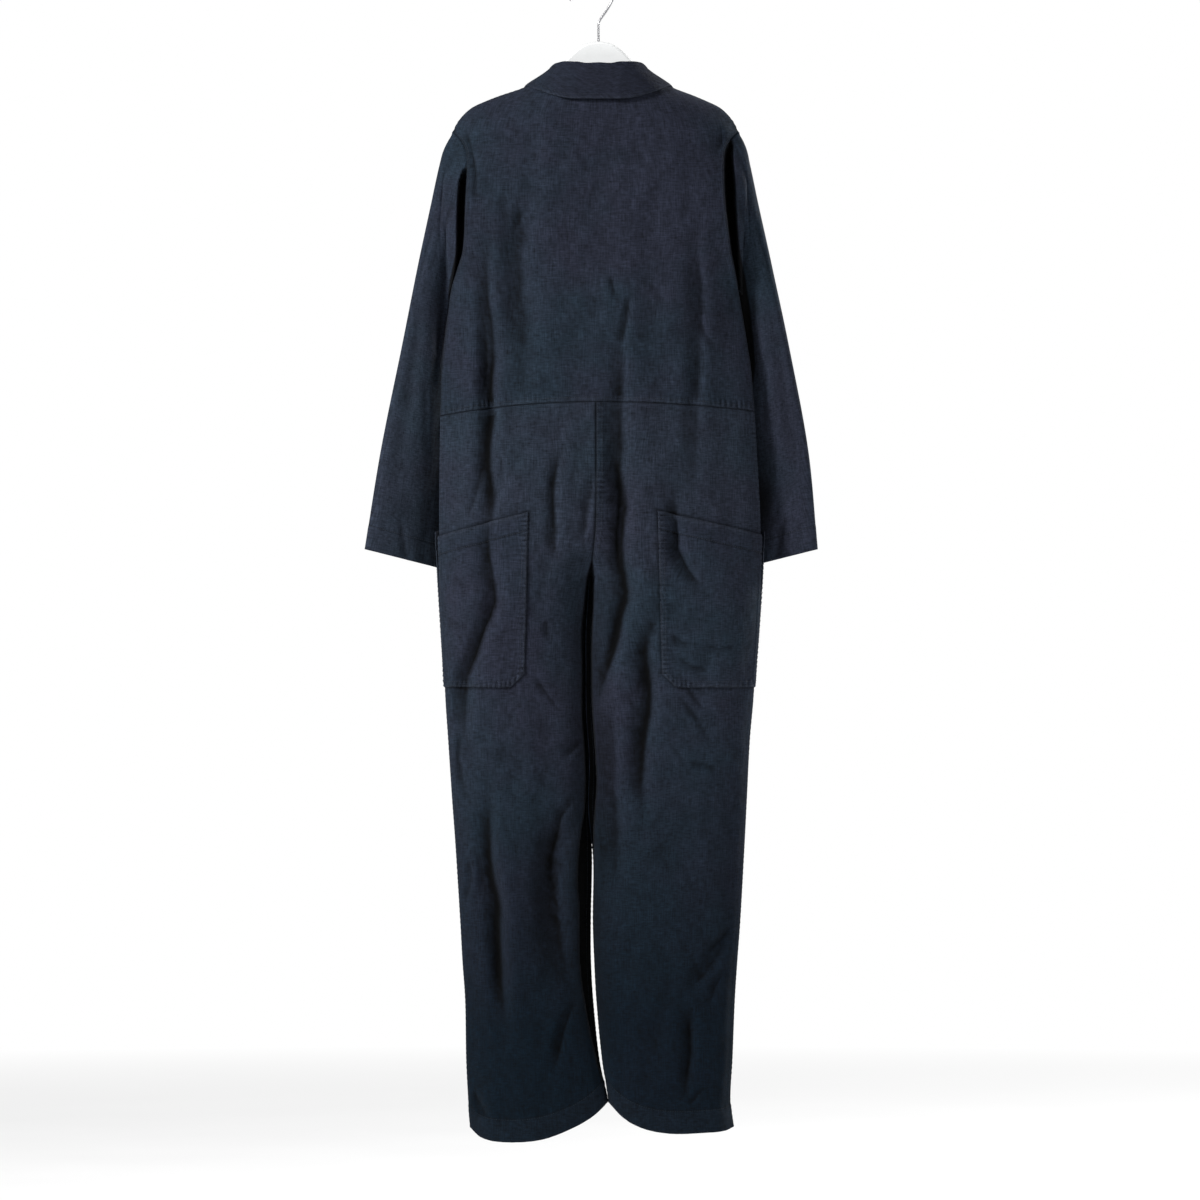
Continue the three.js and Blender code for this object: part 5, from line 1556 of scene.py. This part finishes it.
def button_point(radius, height, turn):
    """A point of a button in its own axes; four holes are sunk in its face."""
    x, y = radius * math.cos(turn), radius * math.sin(turn)
    to_hole = math.hypot(abs(x) - HOLE_OFFSET, abs(y) - HOLE_OFFSET)
    in_face = radius < BUTTON_RADIUS - 2.5 and height > 0
    return x, y, height - HOLE_DEPTH * (in_face and to_hole < HOLE_RADIUS)


def button_piece(index):
    """One button on the placket; the result is the lines of its sewing thread."""
    z = mix(BUTTON_FIRST_Z, BUTTON_LAST_Z, index / (BUTTON_COUNT - 1))
    spot = (z - PLACKET_FOOT) / (PLACKET_TOP - PLACKET_FOOT)
    centre, out = placket.outer(np.array([0.5]), np.array([spot]), 0.5)
    centre, up = centre[0], out[0]
    aside = unit(np.cross(up, (0, 0, 1)))
    axes = np.stack([aside, np.cross(up, aside), up])
    turns = np.linspace(0, 2 * np.pi, BUTTON_SIDES, endpoint=False)
    profile = button_profile()
    points = [centre + button_point(*place, turn) @ axes for place in profile for turn in turns]
    piece = mesh_object(f"button_{index + 1}_detailed", np.array(points),
                        ring_faces(len(profile), BUTTON_SIDES), button_material)
    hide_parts(f"button_{index + 1}")
    strands = []
    for x in (-HOLE_OFFSET, HOLE_OFFSET):
        start, end = (centre + (x, y, BUTTON_DISH - 0.6) @ axes for y in (-HOLE_OFFSET, HOLE_OFFSET))
        for shift in (-0.3, 0, 0.3):
            strands.append([mix(start, end, t) + shift * aside + 0.95 * math.sin(math.pi * t) ** 0.5 * up
                            for t in np.linspace(0, 1, 9)])
    return strands


def strand_piece(name, strands, radius, material):
    points, faces, base = [], [], 0
    for strand in strands:
        tube_points, tube_faces = tube(strand, radius, 6)
        points.append(tube_points)
        faces += [tuple(base + i for i in face) for face in tube_faces]
        base += len(tube_points)
    piece = mesh_object(name, np.concatenate(points), faces, material)


button_strands = [strand for index in range(BUTTON_COUNT) for strand in button_piece(index)]
strand_piece("button_threads", button_strands, 0.24, thread_material)

# Rows of stitching
SEAT_END, FLY_END = 0.775, 0.84
SEAT_ROWS, POCKET_ROWS = (1.8, 8), (2, 8)
BOTH_ENDS = ("a0", "a1")

waist_rows = [seam_row(bodice_back, "b0", STITCH_ROW, reach=0.05, count=700)]
waist_rows += [seam_row(panel, "b0", STITCH_ROW, reach=0.05) for panel in bodice_fronts.values()]
stitches("stitching_waist", waist_rows)

stitches("stitching_seat", [
    seam_row(legs[face, RIGHT], "a0", distance, SEAT_END, end, reach=0.35)
    for face, end in ((BACK, 0.998), (FRONT, FLY_END)) for distance in SEAT_ROWS])
stitches("stitching_leg_sides", [
    seam_row(legs[BACK, side], "a1", STITCH_ROW, 0.002, 0.997, reach=0.3, count=900) for side in WORDS])
stitches("stitching_inseams", [
    seam_row(legs[BACK, side], "a0", STITCH_ROW, 0.002, 0.7, reach=0.3, count=700) for side in WORDS])
stitches("stitching_leg_hems", [
    seam_row(panel, "b0", LEG_HEM - 1, 0.01, 0.99, reach=0.06) for panel in legs.values()])
stitches("stitching_sleeve_hems", [
    seam_row(panel, "b1", SLEEVE_HEM, reach=0.09) for panel in sleeves.values()])
stitches("stitching_armholes_and_sides", [
    seam_row(bodice_back, edge, STITCH_ROW, 0.01, 0.99, reach=0.06) for edge in BOTH_ENDS])

pocket_rows = []
for panel in pockets.values():
    for distance in POCKET_ROWS:
        pocket_rows += [seam_row(panel, "a0", distance, 0.02, 0.995, reach=0.2, count=300),
                        seam_row(panel, "a1", distance, 0.02, 0.995, reach=0.25, count=300),
                        seam_row(panel, "b0", distance, 0.03, 0.97, reach=0.15, count=240)]
    pocket_rows.append(seam_row(panel, "b1", POCKET_BAND, 0.02, 0.98, reach=0.25, count=240))
stitches("stitching_pockets", pocket_rows)

collar_rows = [seam_row(collar, "b1", 6, 0.012, 0.988, reach=0.3, count=600)]
collar_rows += [seam_row(collar, edge, 6, 0.56, 0.93, reach=0.05, count=80) for edge in BOTH_ENDS]
stitches("stitching_collar", collar_rows)

placket_rows = [seam_row(placket, edge, 2.5, 0.005, 0.995, reach=0.4, count=300) for edge in BOTH_ENDS]
placket_rows.append(seam_row(placket, "b0", 3, 0.05, 0.95, reach=0.05, count=40))
stitches("stitching_placket", placket_rows)

# The hanger and its hook
WIRE_RADIUS, BOW_RADIUS = 1.6, 29
BOW_START_DEG, BOW_TIP_DEG = 204, -21
STEM_TOP_Z, STEM_FOOT_Z = -68, -122


def smooth_line(points, count):
    """A smooth line through the points."""
    points = np.array(points, float)
    key = np.arange(len(points), dtype=float)
    at = np.linspace(0, len(points) - 1, count)
    columns = [column({"k": key, "v": points[:, i]}, "k", "v", at) for i in range(3)]
    return np.stack(columns, -1)


def hook_line():
    """The wire's middle line: a straight stem, an easy bend and a round bow."""
    stem = [(0, 0, STEM_FOOT_Z), (0, 0, -95), (0, 0, STEM_TOP_Z - 3), (-0.5, 0, STEM_TOP_Z + 0.5),
            (-3.4, 0, STEM_TOP_Z + 5.5), (-8.8, 0, STEM_TOP_Z + 13), (-13.6, 0, STEM_TOP_Z + 20.5)]
    bow = []
    for degrees in np.linspace(BOW_START_DEG, BOW_TIP_DEG, 23):
        radius = BOW_RADIUS * (1 + 0.06 * float(smooth_step(10, BOW_TIP_DEG, degrees)))
        angle = math.radians(degrees)
        bow.append((BOW_OFFSET + radius * math.cos(angle), 0,
                    WIRE_RADIUS - BOW_RADIUS + radius * math.sin(angle)))
    return smooth_line(stem + bow, 150)


hook = mesh_object("hook_wire", *tube(hook_line(), WIRE_RADIUS, 20), steel_material)
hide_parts("hanger_hook")

hanger = frame["nodes"]["hanger_body"]
hanger.data.materials.clear()
hanger.data.materials.append(hanger_material)

# Floor, light and camera
FLOOR_Z = -1.72
FLOOR_RADIUS = 5.5
FLOOR_FADE = (1.2, 4.5)
ROOM_LIGHT = 0.25

# Each lamp's name, place, target, size and power
LIGHTS = (
    ("key_back", (3.3, 2.1, 1.3), (0, 0, -0.6), 0.8, 232),
    ("fill_back", (-3.2, 3.0, 0.8), (0, 0, -0.7), 1.5, 50),
    ("key_front", (-3.0, -2.4, 1.3), (0, 0, -0.6), 1.0, 170),
)


def floor():
    """A wide pale floor whose far edge fades into the white of the room."""
    shape = bmesh.new()
    bmesh.ops.create_circle(shape, cap_ends=True, segments=96, radius=FLOOR_RADIUS)
    mesh = bpy.data.meshes.new("studio_floor")
    shape.to_mesh(mesh)
    shape.free()
    tree = floor_material.node_tree
    away = add(tree, "VectorMath", object_place(tree), operation="LENGTH")["Value"]
    fade = add(tree, "MapRange", Value=away, From_Min=FLOOR_FADE[0], From_Max=FLOOR_FADE[1])[0]
    painted = tree.nodes["Principled BSDF"].outputs[0]
    glow = add(tree, "Emission", Strength=1.0)[0]
    dress(tree, tree.nodes["Material Output"], Surface=add(tree, "MixShader", fade, painted, glow)[0])
    mesh.materials.append(floor_material)
    plane = bpy.data.objects.new("studio_floor", mesh)
    plane.location.z = FLOOR_Z
    bpy.context.scene.collection.objects.link(plane)


def area_light(name, place, target, size, power):
    """A round soft lamp that faces its target."""
    light = bpy.data.lights.new(name, "AREA")
    light.shape, light.size, light.energy = "DISK", size, power
    lamp = bpy.data.objects.new(name, light)
    lamp.location = place
    lamp.rotation_euler = (Vector(target) - Vector(place)).to_track_quat("-Z", "Y").to_euler()
    bpy.context.scene.collection.objects.link(lamp)


def camera():
    """A long lens straight behind the garment, framed as the photograph."""
    frame_width, distance, sensor = 1.62, 10.0, 36.0
    view = bpy.data.cameras.new("photo_camera")
    view.sensor_width = sensor
    view.lens = sensor * distance / frame_width
    view.clip_end = 60
    lens = bpy.data.objects.new("photo_camera", view)
    lens.location = (-0.0106, distance, -0.8475)
    lens.rotation_euler = (math.pi / 2, 0, math.pi)
    bpy.context.scene.collection.objects.link(lens)
    bpy.context.scene.camera = lens


def studio():
    world_light = bpy.data.worlds.new("white_room")
    world_light.use_nodes = True
    tree = world_light.node_tree
    seen = add(tree, "LightPath")["Is Camera Ray"]
    dress(tree, tree.nodes["Background"], Color=(1, 1, 1, 1),
          Strength=maths(tree, "MULTIPLY_ADD", seen, 1 - ROOM_LIGHT, ROOM_LIGHT))
    bpy.context.scene.world = world_light
    bpy.context.scene.view_settings.view_transform = "Standard"
    for lamp in LIGHTS:
        area_light(*lamp)


floor()
studio()
camera()
